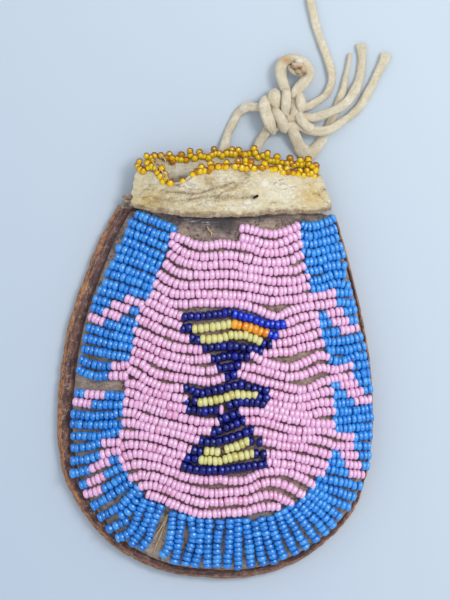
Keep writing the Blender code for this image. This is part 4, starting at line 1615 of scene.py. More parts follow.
@dataclass
class HideFront:
    """The thin bulging hide front that carries the beads."""

    around: int = 260
    rings: int = 60
    pucker: float = 0.14 * MM
    wave: float = 6.0 * MM
    ripple: float = 2.4 * MM
    sunk: float = 0.12 * MM
    beads_from: float = 245.0
    finish: GreyHide = GreyHide()
    marks: dict[str, tuple[Spot, ...]] = field(default_factory=lambda: {
        "shadow": (
            Spot(206, 221, 6, 1.0, 4.2), Spot(226, 227, 8, 0.8, 1.8),
            Spot(262, 217.5, 3, 0.9, 6.0), Spot(204, 220.3, 1.6, 1.2, 17.0),
            Spot(247, 218.8, 1.4, 1.2, 10.0), Spot(238, 345, 16, 0.75, 2.2),
            Spot(226, 402, 24, 0.75, 2.0), Spot(224, 458, 18, 0.7, 2.4),
            Spot(214, 425, 12, 0.7, 1.6), Spot(300, 221, 4, 0.5, 3.0),
            Spot(165, 218, 4, 0.5, 3.0)),
        "paling": (
            Spot(184, 233, 7, 1.0, 2.0), Spot(270, 226, 4, 1.0, 4.0),
            Spot(286, 311, 5, 0.8, 2.4), Spot(289, 370, 14, 0.55), Spot(298, 488, 8, 0.8, 1.2),
            Spot(122, 383, 6, 0.6, 1.6), Spot(160, 540, 12, 0.45), Spot(300, 233, 4, 0.6, 3.0),
            Spot(150, 226, 4, 0.7, 2.0)),
        # Painted glints on the dark fold under the collar's hem.
        "painted_glints": (
            Spot(191, 221.2, 1.3, 1.0, 3.0), Spot(199, 222.2, 1.2, 1.0, 3.0),
            Spot(208, 223, 1.4, 1.0, 3.6)),
        # Painted pink light that the pink beads throw on the hide between them.
        "painted_pink_bounce": (Spot(236, 375, 125, 0.65, 0.5),),
    })

    def _loop(self) -> np.ndarray:
        """Follow the front's edge round the seam and across the mouth.

        Returns:
            The closed loop.
        """
        left, right = FORM.front_edge[0], FORM.front_edge[-1]
        crown = FORM.length - 2 * FORM.clearance
        arch = smooth_line(np.array([right, (right[0] * 0.6, crown), (0.0, crown),
                                     (left[0] * 0.6, crown), left]), 8)[1:-1]
        loop = np.vstack([FORM.front_edge, arch, FORM.front_edge[:1]])
        return evenly(loop, self.around + 1)[:-1]

    def build(self) -> None:
        """Make the front as a closed skin with a thickness."""
        loop, centre = self._loop(), np.array(FORM.bulge_centre)
        shares = 1.0 - (1.0 - np.linspace(0.0, 1.0, self.rings + 1)[1:]) ** 1.15
        flat = np.vstack([centre + (loop - centre) * share for share in shares])
        level = np.repeat(shares, self.around)
        skin = FORM.skin(flat)
        waves = Ripple(11, self.wave).at(flat) + 0.5 * Ripple(12, self.ripple).at(flat)
        calm = np.clip((1.0 - level) / 0.08, 0.0, 1.0)
        rounding = np.clip((level - 0.955) / 0.045, 0.0, 1.0) ** 2
        outer = (skin - self.sunk + waves * self.pucker * calm
                 - rounding * 0.7 * FORM.front_thickness)
        count, last = len(flat), len(flat) - self.around
        crown = FORM.skin(centre[None])[0]
        points = np.vstack([np.column_stack([flat, outer]),
                            np.column_stack([flat, skin - FORM.front_thickness]),
                            (*centre, crown - self.sunk), (*centre, crown - FORM.front_thickness)])
        points[:, :2] += DRAWING.origin()
        faces = (grid_faces(self.rings, self.around) + grid_faces(self.rings, self.around, count)
                 + fan_faces(self.around, 0, 2 * count)
                 + fan_faces(self.around, count, 2 * count + 1)
                 + grid_faces(2, self.around, last, count))
        piece = closed_mesh("hide_front", points, faces)
        below = np.clip((DRAWING.row(self.beads_from) - points[:, 1]) / (3.0 * MM), 0.0, 1.0)
        for name, spots in self.marks.items():
            # Over the beaded part of the front, faded gets a base of 0.3: painted light that lifts
            # the shade between the bead rows.
            under = 0.3 * below if name == "paling" else 0.0
            paint_points(piece, name, marked(spots, points, 0.85, under))
        settle(piece, self.finish.material(), ["front_panel"])


@dataclass
class SkinCollar:
    """The soft skin sleeve round the mouth, its front lip lower than its back lip."""

    across_front: int = 230
    across_back: int = 70
    levels: int = 84
    wrinkles: int = 46
    wrinkle_depths: tuple[float, float] = (0.06, 0.16)
    wrinkle_widths: tuple[float, float] = (0.16, 0.30)
    wrinkle_shades: tuple[float, float] = (0.15, 0.5)
    thickness: float = 1.1 * MM
    right_drop: float = 1.0 * MM
    tuck: float = 4.5 * MM
    hem_lift: float = 0.75 * MM
    # Seed, length in millimetres, number of waves, height in millimetres and stretch of each swell
    swells: tuple[tuple[int, float, int, float, tuple[float, float]], ...] = (
        (21, 9.0, 9, 0.18, (1.0, 1.0)), (22, 3.6, 9, 0.17, (0.55, 1.5)),
        (23, 1.5, 14, 0.08, (0.7, 1.2)),
    )
    hem_waves: float = 0.15 * MM
    hem_shade: float = 1.15 * MM
    ragged: float = 0.30 * MM
    front_lip: Points = (
        (137, 172), (152, 173), (159, 178), (166, 183), (175, 184), (184, 182), (192, 176),
        (200, 172), (212, 170), (232, 168), (258, 168), (275, 171), (290, 173), (305, 177),
        (320, 177),
    )
    back_lip: Points = (
        (138, 168), (146, 161), (156, 157), (170, 158), (186, 157), (198, 155), (212, 153),
        (232, 152), (253, 152), (268, 156), (277, 159), (290, 162), (308, 164), (320, 170),
    )
    hem: Points = (
        (132, 206), (146, 211), (160, 213.5), (176, 216), (200, 218.5), (232, 218), (255, 217.5),
        (270, 215.5), (292, 214.6), (318, 214), (334, 211),
    )
    creases: tuple[Crease, ...] = (
        Crease(((167, 193), (180, 194), (192, 195.5), (202, 194), (212, 190.5), (224, 187),
                (233, 184)), 0.34, 0.42, 0.62),
        Crease(((154, 199), (165, 201.5), (180, 202), (195, 199.5), (210, 197.5), (222, 199),
                (240, 199.8), (252, 198.5)), 0.30, 0.38, 0.55),
        Crease(((232, 190), (240, 185), (246, 180), (247, 173)), 0.26, 0.55, 0.32),
        Crease(((216, 200), (219, 197), (224, 193), (230, 191)), 0.26, 0.35, 0.5),
        Crease(((140, 196), (146, 190), (150, 187)), 0.12, 0.5, 0.25),
        Crease(((183, 212), (190, 215), (200, 214), (208, 213), (216, 214)), 0.22, 0.22, 0.62),
        Crease(((248, 215), (254, 213.5)), 0.2, 0.2, 0.6),
        Crease(((174, 186), (184, 188), (198, 186)), 0.14, 0.5, 0.18),
        Crease(((140, 207), (152, 209), (166, 210)), 0.14, 0.3, 0.3),
        Crease(((268, 212), (290, 211), (312, 211.5), (328, 210)), 0.16, 0.28, 0.34),
        Crease(((318, 196), (326, 203), (331, 205)), 0.16, 0.4, 0.22),
        Crease(((322, 188), (326, 194)), 0.12, 0.35, 0.2),
        Crease(((175, 215), (200, 217.5), (232, 217.2), (256, 216.5), (290, 213.8),
                (325, 212.5)), 0.05, 0.4, 0.5),
        Crease(((205, 178), (207, 184), (211, 186)), 0.14, 0.4, 0.28),
        Crease(((193, 180), (186, 184), (181, 188)), -0.16, 0.8),
        Crease(((158, 179), (165, 184), (175, 186), (185, 184), (193, 178)), 0.0, 0.32, 0.85),
        Crease(((172, 189), (186, 190), (200, 188)), -0.18, 0.9),
        Crease(((160, 205), (185, 207), (214, 205), (250, 206)), -0.22, 1.1),
        Crease(((221, 195.5), (232, 194.6), (245, 194.2), (256, 194)), -0.55, 0.62),
    )
    marks: dict[str, tuple[Spot, ...]] = field(default_factory=lambda: {
        "soiled_and_shaded": (
            # Spot(176, 181) on the next line is painted shadow just above the front lip; the others
            # are dirty patches.
            Spot(205, 196, 14, 0.9, 2.6), Spot(176, 181, 3.5, 0.9, 3.2),
            Spot(172, 198, 8, 0.6, 2.0), Spot(232, 182, 9, 0.7, 1.8), Spot(150, 204, 7, 0.5, 2.5),
            Spot(245, 176, 6, 0.6), Spot(132, 203, 4, 0.9), Spot(318, 180, 5, 0.5),
            Spot(328, 207, 4, 0.7, 1.4)),
        "rubbed_and_lit": (
            Spot(190, 186, 5, 0.9, 2.2), Spot(236, 209, 4, 1.0, 3.0),
            Spot(282, 190, 10, 0.9, 2.0), Spot(250, 204, 5, 0.7, 2.0), Spot(222, 178, 5, 0.6, 2.0),
            Spot(205, 205, 4, 0.6, 2.4), Spot(262, 184, 6, 0.7, 1.6), Spot(296, 203, 5, 0.6, 2.4),
            # Painted light that lifts the shade inside the mouth, on the back wall.
            Spot(178, 169, 11, 1.0, 1.6)),
        "yellowed": (
            Spot(152, 201, 9, 0.95, 2.0), Spot(313, 196, 9, 0.85, 1.5),
            Spot(208, 182, 5, 0.6, 1.6), Spot(174, 178, 5, 0.4, 1.6), Spot(256, 176, 5, 0.4, 2.0),
            Spot(236, 188, 4, 0.5, 2.0)),
    })
    lip_shade: Spot = Spot(177, 181, 3.2, 1.0, 4.5)
    finish: Buckskin = Buckskin()

    def _edge(self, pixels: Points, across: np.ndarray) -> np.ndarray:
        """Measure a drawn edge.

        Args:
            pixels: the pixels that it passes.
            across: shares of the way across.

        Returns:
            Its height above the bottom at each of them.
        """
        drawn = smooth_line(DRAWING.flat(pixels) - DRAWING.origin(), 8)
        low, high = drawn[0, 0], drawn[-1, 0]
        return np.interp(low + (high - low) * across, drawn[:, 0], drawn[:, 1])

    def _fine_wrinkles(self) -> tuple[Crease, ...]:
        """Draw short thin cracks, most of them on the worn left half.

        Returns:
            The cracks.
        """
        draw = np.random.default_rng(SEED + 70)
        found = []
        for _ in range(self.wrinkles):
            x = 141.0 + 185.0 * draw.random() ** 1.7
            y = draw.uniform(184.0, 213.0)
            run, rise = draw.uniform(4.0, 13.0), draw.normal(-0.5, 2.2)
            bow = draw.normal(0.0, 0.9)
            found.append(Crease(((x, y), (x + run / 2, y + rise / 2 + bow), (x + run, y + rise)),
                                draw.uniform(*self.wrinkle_depths),
                                draw.uniform(*self.wrinkle_widths),
                                draw.uniform(*self.wrinkle_shades)))
        return tuple(found)

    def build(self) -> None:
        """Make the sleeve."""
        folds = self.creases + self._fine_wrinkles()
        front = 0.5 - 0.5 * np.cos(math.pi * np.arange(self.across_front) / self.across_front)
        back = 0.5 + 0.5 * np.cos(math.pi * np.arange(self.across_back) / self.across_back)
        across = np.concatenate([front, back])
        is_front = np.arange(len(across)) < self.across_front
        sides = (across == 0.0) | (across == 1.0)
        low_front = self._edge(self.hem, across) + self.hem_waves * Ripple(27, 1.8 * MM).at(
            np.column_stack([across * 0.07, across * 0.0]))
        middle = np.maximum(0.0, 1 - ((across - 0.5) / 0.36) ** 2)
        low = np.where(is_front, low_front,
                       FORM.length - self.right_drop * across - self.tuck * middle)
        high_front, high_back = (self._edge(lip, across)
                                 for lip in (self.front_lip, self.back_lip))
        high = np.where(is_front, high_front, high_back)
        high = np.where(sides, (high_front + high_back) / 2, high)
        quiet = np.clip(np.minimum(across, 1 - across) / 0.05, 0.0, 1.0)
        base = FORM.back_thickness + FORM.clearance
        outer, inner, creases = [], [], []
        for level in range(self.levels + 1):
            share = level / self.levels
            rows = low + (high - low) * share
            left, right = np.array([FORM.collar_sides(row) for row in rows]).T
            ragged = Ripple(25, 1.7 * MM, 14).at(np.column_stack([rows, across * 0.01]))
            ragged = ragged * self.ragged * np.exp(-(across / 0.03) ** 2)
            lift = self.hem_lift * math.exp(-(share / 0.10) ** 2)
            for wall, kept in ((0.0, outer), (self.thickness, inner)):
                x = left + wall + (right - left - 2 * wall) * across + ragged
                flat = np.column_stack([x, rows])
                skin = FORM.skin(flat) + FORM.clearance
                places = flat + DRAWING.origin()
                soft = sum(Ripple(seed, length * MM, waves).at(flat * stretch) * height
                           for seed, length, waves, height, stretch in self.swells) * MM
                pressed = sum(crease.pressed(places) for crease in folds)
                z_front = (skin + self.thickness - wall + (soft + lift) * quiet
                           - pressed * (0.6 if wall else 1.0))
                z_back = np.maximum(base + wall + (soft * 0.4 * quiet if wall else 0.0), base)
                z = np.where(is_front, z_front, z_back)
                z = np.where(sides, (skin + base + self.thickness) / 2, z)
                kept.append(np.column_stack([places, z]))
            # Painted shade: darker along the creases and along the rolled-under hem.
            dark = sum(crease.shaded(outer[-1]) for crease in folds)
            above = (rows - low) / MM + 0.35 * Ripple(26, 2.6 * MM).at(outer[-1])
            hem_dark = 0.8 * np.exp(-np.clip(above / (self.hem_shade / MM), 0.0, None) ** 4)
            creases.append(np.where(is_front, np.clip(dark + hem_dark, 0.0, 0.9), 0.0))
        columns, rows = len(across), self.levels + 1
        count = columns * rows
        faces = (grid_faces(rows, columns) + grid_faces(rows, columns, count)
                 + grid_faces(2, columns, 0, count)
                 + grid_faces(2, columns, count - columns, count))
        points = np.vstack(outer + inner)
        piece = closed_mesh("skin_collar", points, faces)
        # Painted shadow on the inside of the back wall, just above the front lip.
        lip_dark = marked([self.lip_shade], points[count:], 0.85)
        paint_points(piece, "crease", np.concatenate(creases + [lip_dark]))
        for name, spots in self.marks.items():
            paint_points(piece, name, marked(spots, points))
        settle(piece, self.finish.material(), ["collar"])


@dataclass
class AmberEdging:
    """The picot edging of amber beads along both lips of the collar.

    The tables give each bead's middle in pixels: first the ones that stand out of the row and
    then the ones that lie along it.
    """

    string: BeadString = field(default_factory=lambda: BeadString(
        diameter=1.9 * MM, thickness=1.75 * MM, bob=0.25 * MM, ring=0.13, hole=0.05,
        uneven=0.08))
    back_standing: Points = (
        (146.5, 156), (154.5, 155.5), (169.5, 154.5), (181.5, 155), (190, 151), (199.5, 152),
        (214, 149.5), (232, 149.5), (238.5, 150), (254, 148.5), (267.5, 153.5), (277, 156.5),
        (290, 158.5), (300.5, 160.5), (308.5, 159.5), (316, 165.5), (139.5, 161.5),
    )
    back_lying: Points = (
        (150.5, 157.5), (152, 160.5), (161, 155.5), (166, 158), (172, 158), (173, 161.5),
        (177, 158.5), (181, 159.5), (186, 160), (190.5, 155), (195, 158), (200.5, 155.5),
        (204, 156.5), (208.5, 157.5), (212, 155), (215.5, 153.5), (219, 153.5), (222.5, 155.5),
        (227, 153), (231, 153.5), (235, 154), (240.5, 154), (245, 154.5), (249, 153.5),
        (255.5, 153), (258, 157), (263, 155.5), (267, 158), (270, 160.5), (273.5, 161),
        (277, 161), (282, 162.5), (287, 163.5), (291, 163), (294.5, 166), (297.5, 164),
        (301.5, 165), (305, 164), (309, 164.5), (312.5, 166.5), (316, 169.5),
    )
    front_standing: Points = (
        (147.5, 162.5), (156, 167.5), (201.5, 167), (210.5, 163.5), (226.5, 162.5),
        (238, 161.5), (245.5, 160), (250.5, 162), (264.5, 163.5), (279.5, 167), (287, 168.5),
        (315, 171), (165, 174),
    )
    front_lying: Points = (
        (138, 165.5), (140.5, 169), (143.5, 171), (148.5, 167.5), (152, 166), (158, 172.5),
        (160.5, 176), (163, 181), (166, 178.5), (170.5, 183), (162, 168), (183, 181),
        (193, 174.5), (197, 172), (200.5, 171), (205, 170.5), (209, 171), (211.5, 167.5),
        (215, 167.5), (218.5, 166.5), (222.5, 167), (226.5, 167), (231.5, 167), (235, 166.5),
        (238, 166), (242, 167.5), (246.5, 168.5), (245.5, 164), (250.5, 166), (254, 168),
        (258.5, 168), (262, 167.5), (266.5, 167.5), (271, 169.5), (275, 169), (281, 170.5),
        (283, 172.5), (288, 172), (293, 173), (298, 173.5), (303.5, 175), (308, 175),
        (311.5, 173), (314.5, 176.5), (300, 170.5), (307, 170.5),
    )
    over_collar: float = 0.9 * MM
    over_back: float = 1.6 * MM
    corner: float = 3.0 * MM
    standing_lean: float = 0.35
    lying_lean: float = 0.28
    finish: AmberGlass = AmberGlass()

    def _heights(self, places: np.ndarray, front: bool) -> np.ndarray:
        """Find the heights of one lip, which climbs towards the corners at the back.

        Args:
            places: the beads' places, as the camera sees them.
            front: whether it is the front lip.

        Returns:
            One height for each bead.
        """
        if front:
            return FORM.skin_at(places) + FORM.clearance + self.over_collar
        across = places[:, 0]
        side = np.minimum(across - across.min(), across.max() - across)
        climb = self.over_back * np.exp(-(side / self.corner) ** 2)
        return FORM.back_thickness + self.over_back + climb

    def build(self, tree: BeadTree) -> None:
        """Make the edging of both lips.

        Args:
            tree: the tree that makes the beads.
        """
        glass = self.finish.material()
        for node, seed, standing, lying in (
                ("edging_back", SEED + 31, self.back_standing, self.back_lying),
                ("edging_front", SEED + 32, self.front_standing, self.front_lying)):
            draw = np.random.default_rng(seed)
            places = DRAWING.flat([*standing, *lying])
            count = len(places)
            heights = self._heights(places, node == "edging_front")
            places = DRAWING.raised(places, heights)
            heights = heights + draw.normal(0.0, self.string.bob, count)
            along = np.zeros((count, 3))
            along[:, 0] = 1.0
            split = len(standing)
            for rows, lean in ((along[:split], self.standing_lean),
                               (along[split:], self.lying_lean)):
                rows += draw.normal(0.0, lean, rows.shape) * (1.0, 1.0, 0.5)
            sizes = draw.normal(1.0, self.string.uneven, (count, 3))
            piece = tree.beads(node + "_beads", np.column_stack([places, heights]), unit(along),
                               sizes, self.string, glass, seed)
            settle(piece, glass, [node])


@dataclass
class Strip:
    """A flattened strip of skin or sinew swept along a curve.

    Args:
        width: across the strip.
        thickness: through it.
        sides: points round its section.
        step: distance between its rings.
        uneven: share by which its width and thickness vary.
        twist: how far it turns about its own line, in radians.
        flare: how much wider its far end is, as a share.
        taper: how much narrower its far end is, as a share.
        squareness: 2 gives an oval section and more gives a squarer one.
        fold: depth of the fold that runs along it, as a share.
        swell: length of the waves in its width, the long ones and the short ones.
        thick_swell: length of the waves in its thickness.
        twist_swell: length over which it turns to and fro.
        tips: shares of its size at the last ring and the one before, at either end.
        dome: how far each end stands out beyond its last ring.
    """

    width: float = 2.0 * MM
    thickness: float = 1.4 * MM
    sides: int = 14
    step: float = 0.45 * MM
    uneven: float = 0.07
    twist: float = 0.35
    flare: float = 0.0
    taper: float = 0.0
    squareness: float = 2.4
    fold: float = 0.13
    swell: tuple[float, float] = (2.3 * MM, 0.9 * MM)
    thick_swell: float = 1.7 * MM
    twist_swell: float = 7.0 * MM
    tips: tuple[float, float] = (0.72, 0.93)
    dome: float = 0.05 * MM

    def _halves(self, run: np.ndarray, phases: np.ndarray, widths: Sequence[float]
                ) -> tuple[np.ndarray, np.ndarray]:
        """Half the width and half the thickness at each ring.

        Args:
            run: distance of each ring along the strip.
            phases: where its waves start.
            widths: shares of its width along the line, at even steps.

        Returns:
            The two halves.
        """
        share = run / run[-1]
        wide = self.width / 2 * (1 + self.uneven * np.sin(run / self.swell[0] + phases[0])
                                 + 0.6 * self.uneven * np.sin(run / self.swell[1] + phases[1]))
        wide = wide * (1 + self.flare * np.clip((share - 0.9) / 0.1, 0, 1) ** 2)
        wide = wide * (1 - self.taper * share ** 3)
        thick = self.thickness / 2 * (1 + self.uneven * np.sin(run / self.thick_swell + phases[2]))
        thick = thick * (1 - 0.6 * self.taper * share ** 3)
        drawn = np.interp(share, np.linspace(0.0, 1.0, len(widths)), widths)
        return wide * drawn, thick * np.sqrt(drawn)

    def _surface(self, line: np.ndarray, seed: int, first: int, widths: Sequence[float]
                 ) -> tuple[np.ndarray, np.ndarray, Faces, np.ndarray]:
        """Work out one strip.

        Args:
            line: points that it follows.
            seed: seed of its unevenness.
            first: number of its first point in the whole piece.
            widths: shares of its width along the line, at even steps.

        Returns:
            Its points, pattern, faces and ring centres.
        """
        curve = smooth_line(line, 10)
        rings = evenly(curve, max(8, int(measured(curve)[-1] / self.step)))
        ways, run = unit(np.gradient(rings, axis=0)), measured(rings)
        phases = np.random.default_rng(seed).uniform(0.0, 2 * math.pi, 6)
        wide, thick = self._halves(run, phases, widths)
        turns = self.twist * np.sin(run / self.twist_swell + phases[3])
        angles = np.linspace(0.0, 2 * math.pi, self.sides, endpoint=False)
        across, through = (np.sign(wave) * np.abs(wave) ** (2.0 / self.squareness)
                           for wave in (np.cos(angles), np.sin(angles)))
        flat_up = np.array((0.0, 0.0, 1.0))
        points, pattern, last = [], [], len(rings) - 1
        for index, (centre, way, turn) in enumerate(zip(rings, ways, turns)):
            flat_up = flat_up - way * (flat_up @ way)
            flat_up /= np.linalg.norm(flat_up)
            side = np.cross(way, flat_up)
            cos, sin = math.cos(turn), math.sin(turn)
            right, high = side * cos + flat_up * sin, flat_up * cos - side * sin
            end = min(index, last - index)
            rough = 1 + 0.05 * np.sin(3 * angles + phases[4] + run[index] / (3.1 * MM))
            middle = 1.5 + 0.5 * math.sin(run[index] / (4.3 * MM) + phases[5])
            rough -= self.fold * np.exp(-((angles - middle) / 0.3) ** 2)
            rough *= self.tips[end] if end < len(self.tips) else 1.0
            points.append(centre + np.outer(across * wide[index] * rough, right)
                          + np.outer(through * thick[index] * rough, high))
            pattern.append(np.column_stack([np.full(self.sides, run[index]),
                                            angles / (2 * math.pi)]))
        points.append(rings[[0, -1]] + ways[[0, -1]] * ((-self.dome,), (self.dome,)))
        pattern.append(np.array([(run[0], 0.5), (run[-1], 0.5)]))
        pole = first + len(rings) * self.sides
        faces = (grid_faces(len(rings), self.sides, first) + fan_faces(self.sides, first, pole)
                 + fan_faces(self.sides, pole - self.sides, pole + 1))
        return np.vstack(points), np.vstack(pattern), faces, rings

    def joined(self, name: str, lines: Iterable[np.ndarray], seed: int,
               widths: Sequence[Sequence[float]] = ()
               ) -> tuple[bpy.types.Object, np.ndarray, np.ndarray]:
        """Make one piece of strips along several lines.

        Args:
            name: the piece's name.
            lines: points that each strip follows.
            seed: seed of the first strip's unevenness; each further strip takes the next.
            widths: for each strip, shares of its width at even steps, where they change.

        Returns:
            The piece, its points and the last strip's ring centres.
        """
        points, pattern, faces = np.empty((0, 3)), np.empty((0, 2)), []
        for number, line in enumerate(lines):
            shares = widths[number] if len(widths) else (1.0,)
            made = self._surface(line, seed + number, len(points), shares)
            points, pattern = np.vstack([points, made[0]]), np.vstack([pattern, made[1]])
            faces += made[2]
        return closed_mesh(name, points, faces, pattern), points, made[3]


@dataclass(frozen=True)
class Thong:
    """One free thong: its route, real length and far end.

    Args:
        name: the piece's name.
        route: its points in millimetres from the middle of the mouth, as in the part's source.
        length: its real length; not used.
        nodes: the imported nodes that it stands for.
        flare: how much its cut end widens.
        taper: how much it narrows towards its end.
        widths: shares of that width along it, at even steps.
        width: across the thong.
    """

    name: str
    route: tuple[tuple[float, float, float], ...]
    length: float
    nodes: tuple[str, ...]
    flare: float = 0.0
    taper: float = 0.0
    widths: tuple[float, ...] = (1.0,)
    width: float = 2.25 * MM


THONGS = (
    Thong("thong_left_long",
          ((1.5, -0.6, 2.0), (2.4, 2.2, 1.7), (3.0, 4.7, 1.2), (4.2, 7.4, 1.1), (5.8, 10.2, 1.2),
           (8.0, 11.7, 1.8), (10.3, 11.7, 2.6), (11.2, 11.5, 2.8), (17.0, 11.4, 2.8),
           (22.8, 11.8, 2.8), (25.0, 12.9, 2.2), (27.5, 14.7, 1.4), (29.0, 17.7, 1.1),
           (29.0, 20.9, 1.1), (28.0, 24.4, 1.1), (26.3, 28.9, 1.1), (25.0, 33.4, 1.1),
           (23.8, 38.7, 1.1), (22.8, 43.2, 1.1)),
          0.065, ("thong_left", "tail_long"), taper=0.12),
    Thong("thong_right_flared",
          ((9.8, -0.6, 2.0), (10.9, 2.3, 1.7), (12.0, 4.3, 1.9), (12.9, 5.6, 2.5),
           (13.4, 6.3, 2.8), (17.2, 7.2, 2.8), (21.3, 6.9, 2.8), (23.0, 6.1, 3.1),
           (25.3, 5.7, 3.4), (28.3, 6.0, 3.5), (32.0, 8.4, 1.8), (35.7, 11.4, 1.1),
           (38.3, 15.4, 1.1), (41.0, 20.9, 1.1), (43.0, 25.2, 1.1)),
          0.048, ("thong_right", "tail_flared"), flare=0.3),
    Thong("thong_short",
          ((17.6, 9.1, 2.8), (22.6, 9.1, 2.8), (24.5, 9.1, 3.1), (26.8, 9.7, 3.5),
           (29.5, 10.8, 3.6), (32.0, 12.2, 3.2), (34.2, 14.8, 1.9), (36.0, 18.7, 1.1),
           (36.8, 23.4, 1.1), (36.5, 27.7, 1.1)),
          0.031, ("tail_short",), flare=0.25),
    Thong("thong_looped",
          ((18.9, 7.4, 2.8), (19.7, 5.2, 2.8), (20.7, 2.9, 1.8), (21.8, 1.2, 1.1),
           (23.5, 0.2, 1.1), (25.7, 2.2, 1.1), (27.5, 5.2, 1.1), (29.0, 8.2, 1.1),
           (30.6, 11.9, 1.1), (31.8, 15.4, 1.1), (32.8, 19.9, 1.1), (33.8, 25.4, 1.1)),
          0.037, ("tail_looped",),
          widths=(1.0, 1.5, 1.75, 1.15, 1.0, 0.95, 0.9, 0.75, 0.55, 0.4)),
)


@dataclass
class ThongSet:
    """The free thongs and the knot that ties them."""

    diameter: float = 2.0 * MM
    settled: float = 0.22 * MM
    path_points: int = 36
    finish: ThongSkin = ThongSkin()
    knot_strip: Strip = field(default_factory=lambda: Strip(
        width=2.5 * MM, thickness=2.0 * MM, sides=18, step=0.3 * MM, twist=0.25, uneven=0.05,
        squareness=2.1, fold=0.10))
    # Each wrap of the knot through pixels: column, row, height in millimetres, width in pixels
    wraps: tuple[tuple[tuple[float, float, float, float], ...], ...] = (
        ((289, 104, 2.2, 9), (287.5, 95, 2.6, 10), (283.5, 84, 3.0, 11), (280.8, 75, 3.0, 11.5),
         (281.5, 66, 2.9, 11.5), (286, 60.5, 2.8, 11), (293, 59, 2.8, 10.5),
         (301, 61.5, 2.8, 11), (307, 67, 2.8, 12), (308.3, 74, 2.9, 12.5), (304, 82, 3.0, 12),
         (298.5, 88, 3.1, 11), (294.5, 93, 3.2, 8), (293, 98, 2.8, 6)),
        ((274, 90, 2.2, 7), (274.5, 94, 3.4, 12.5), (275.5, 100, 3.9, 12.5),
         (277.5, 106, 3.4, 9), (279, 110, 2.4, 6)),
        ((267, 97, 2.4, 8), (264.8, 103, 3.8, 11), (265, 109, 4.4, 12.5), (267.5, 117, 4.5, 13),
         (270.8, 125, 4.0, 12.5), (272.8, 131, 2.8, 9), (273.5, 134, 1.6, 6)),
        ((273, 107, 2.6, 6), (276, 111, 3.8, 9), (280, 117, 4.5, 11), (283, 123.5, 4.3, 11),
         (284.3, 128.5, 3.4, 9.5), (284.8, 131.5, 2.2, 6)),
        ((286, 89, 2.8, 7), (286.2, 94, 4.4, 9.5), (286, 101, 4.9, 10), (285.6, 108, 4.6, 10),
         (285.5, 113, 3.6, 8), (285.8, 116, 2.6, 5)),
        ((299.5, 93, 2.6, 6), (300, 97, 3.6, 9), (300.5, 103, 3.9, 11), (301, 108, 3.4, 10),
         (300.5, 112, 2.6, 7)),
        ((293.5, 98, 2.2, 7), (294, 105, 2.9, 8), (294, 113, 3.0, 9), (293.5, 120, 2.4, 8)),
        ((299.5, 110, 2.6, 7), (299.5, 116, 3.4, 9.5), (302.5, 121.5, 3.7, 10),
         (307, 126.5, 3.6, 10), (313, 130, 3.5, 9.5)),
        ((291, 70, 3.0, 4), (294, 66, 4.4, 5), (299, 65.5, 4.8, 5.5), (304, 69, 4.2, 5),
         (305, 73, 3.2, 3.5)),
        ((289, 66, 3.2, 3.5), (292, 70.5, 4.0, 5), (297, 73.5, 4.2, 5), (302, 74, 3.6, 4)),
        ((296, 60, 3.6, 4), (299, 61.5, 4.9, 6.5), (302, 62.5, 4.0, 4)),
        ((293, 63.5, 4.2, 3.5), (295, 66.5, 4.9, 5), (297.5, 69, 4.4, 3.5)),
        ((300.5, 66.5, 4.6, 4), (303, 69.5, 5.1, 5.5), (303, 73.5, 4.2, 4)),
        ((296, 70, 4.6, 3.5), (299, 72, 5.2, 5), (301.5, 75, 4.2, 3.5)),
    )
    marks: dict[str, tuple[Spot, ...]] = field(default_factory=lambda: {
        "scorched": (Spot(286, 61, 3.6, 0.95, 1.6), Spot(299, 69, 5.0, 0.8, 1.3)),
        "stained": (Spot(297, 69.5, 2.2, 0.7, 1.5), Spot(304, 74.5, 2.4, 0.9, 1.4),
                    Spot(291, 67.5, 2.4, 0.8), Spot(286.5, 72, 2.0, 0.4),
                    Spot(300.5, 68.5, 1.2, 0.9), Spot(294.5, 70, 1.2, 0.8),
                    Spot(298, 75, 1.8, 0.8, 1.5)),
        # Painted highlight on top of the clump on the knot ring.
        "pale_and_highlight": (Spot(299, 61.5, 2.4, 0.95, 1.2),),
    })

    def _path(self, thong: Thong) -> np.ndarray:
        """Lay a thong on the floor where nothing lifts it.

        Args:
            thong: the thong.

        Returns:
            Its points in the frame.
        """
        mouth = np.array([*DRAWING.origin(), 0.0]) + (0.0, FORM.length + FORM.back_lip, 0.0)
        path = mouth + np.array(thong.route) * MM
        low = np.clip((1.8 * MM - path[:, 2]) / (0.7 * MM), 0.0, 1.0)
        path[:, 2] -= self.settled * low
        return path

    def _knot(self) -> bpy.types.Object:
        """Make the wraps of the knot.

        Returns:
            The knot as one piece.
        """
        lines, widths = [], []
        for wrap in self.wraps:
            drawn = np.array(wrap)
            heights = drawn[:, 2] * MM
            places = DRAWING.raised(DRAWING.flat(drawn[:, :2]), heights)
            line = np.column_stack([places, heights])
            run = measured(line)
            even = np.interp(np.linspace(0.0, run[-1], 24), run, drawn[:, 3])
            lines.append(line)
            widths.append(even * DRAWING.pixel / self.knot_strip.width)
        piece, points, _ = self.knot_strip.joined("knot_wraps", lines, SEED + 60, widths)
        for name, spots in self.marks.items():
            paint_points(piece, name, marked(spots, points))
        return settle(piece, self.finish.material(), ["knot", "knot_ring"])

    def build(self) -> None:
        knot = self._knot()
        for number, thong in enumerate(THONGS):
            strip = Strip(width=thong.width, flare=thong.flare, taper=thong.taper)
            piece, _, rings = strip.joined(thong.name, [self._path(thong)],
                                           SEED + 50 + number, [thong.widths])
            settle(piece, self.finish.material(), thong.nodes)


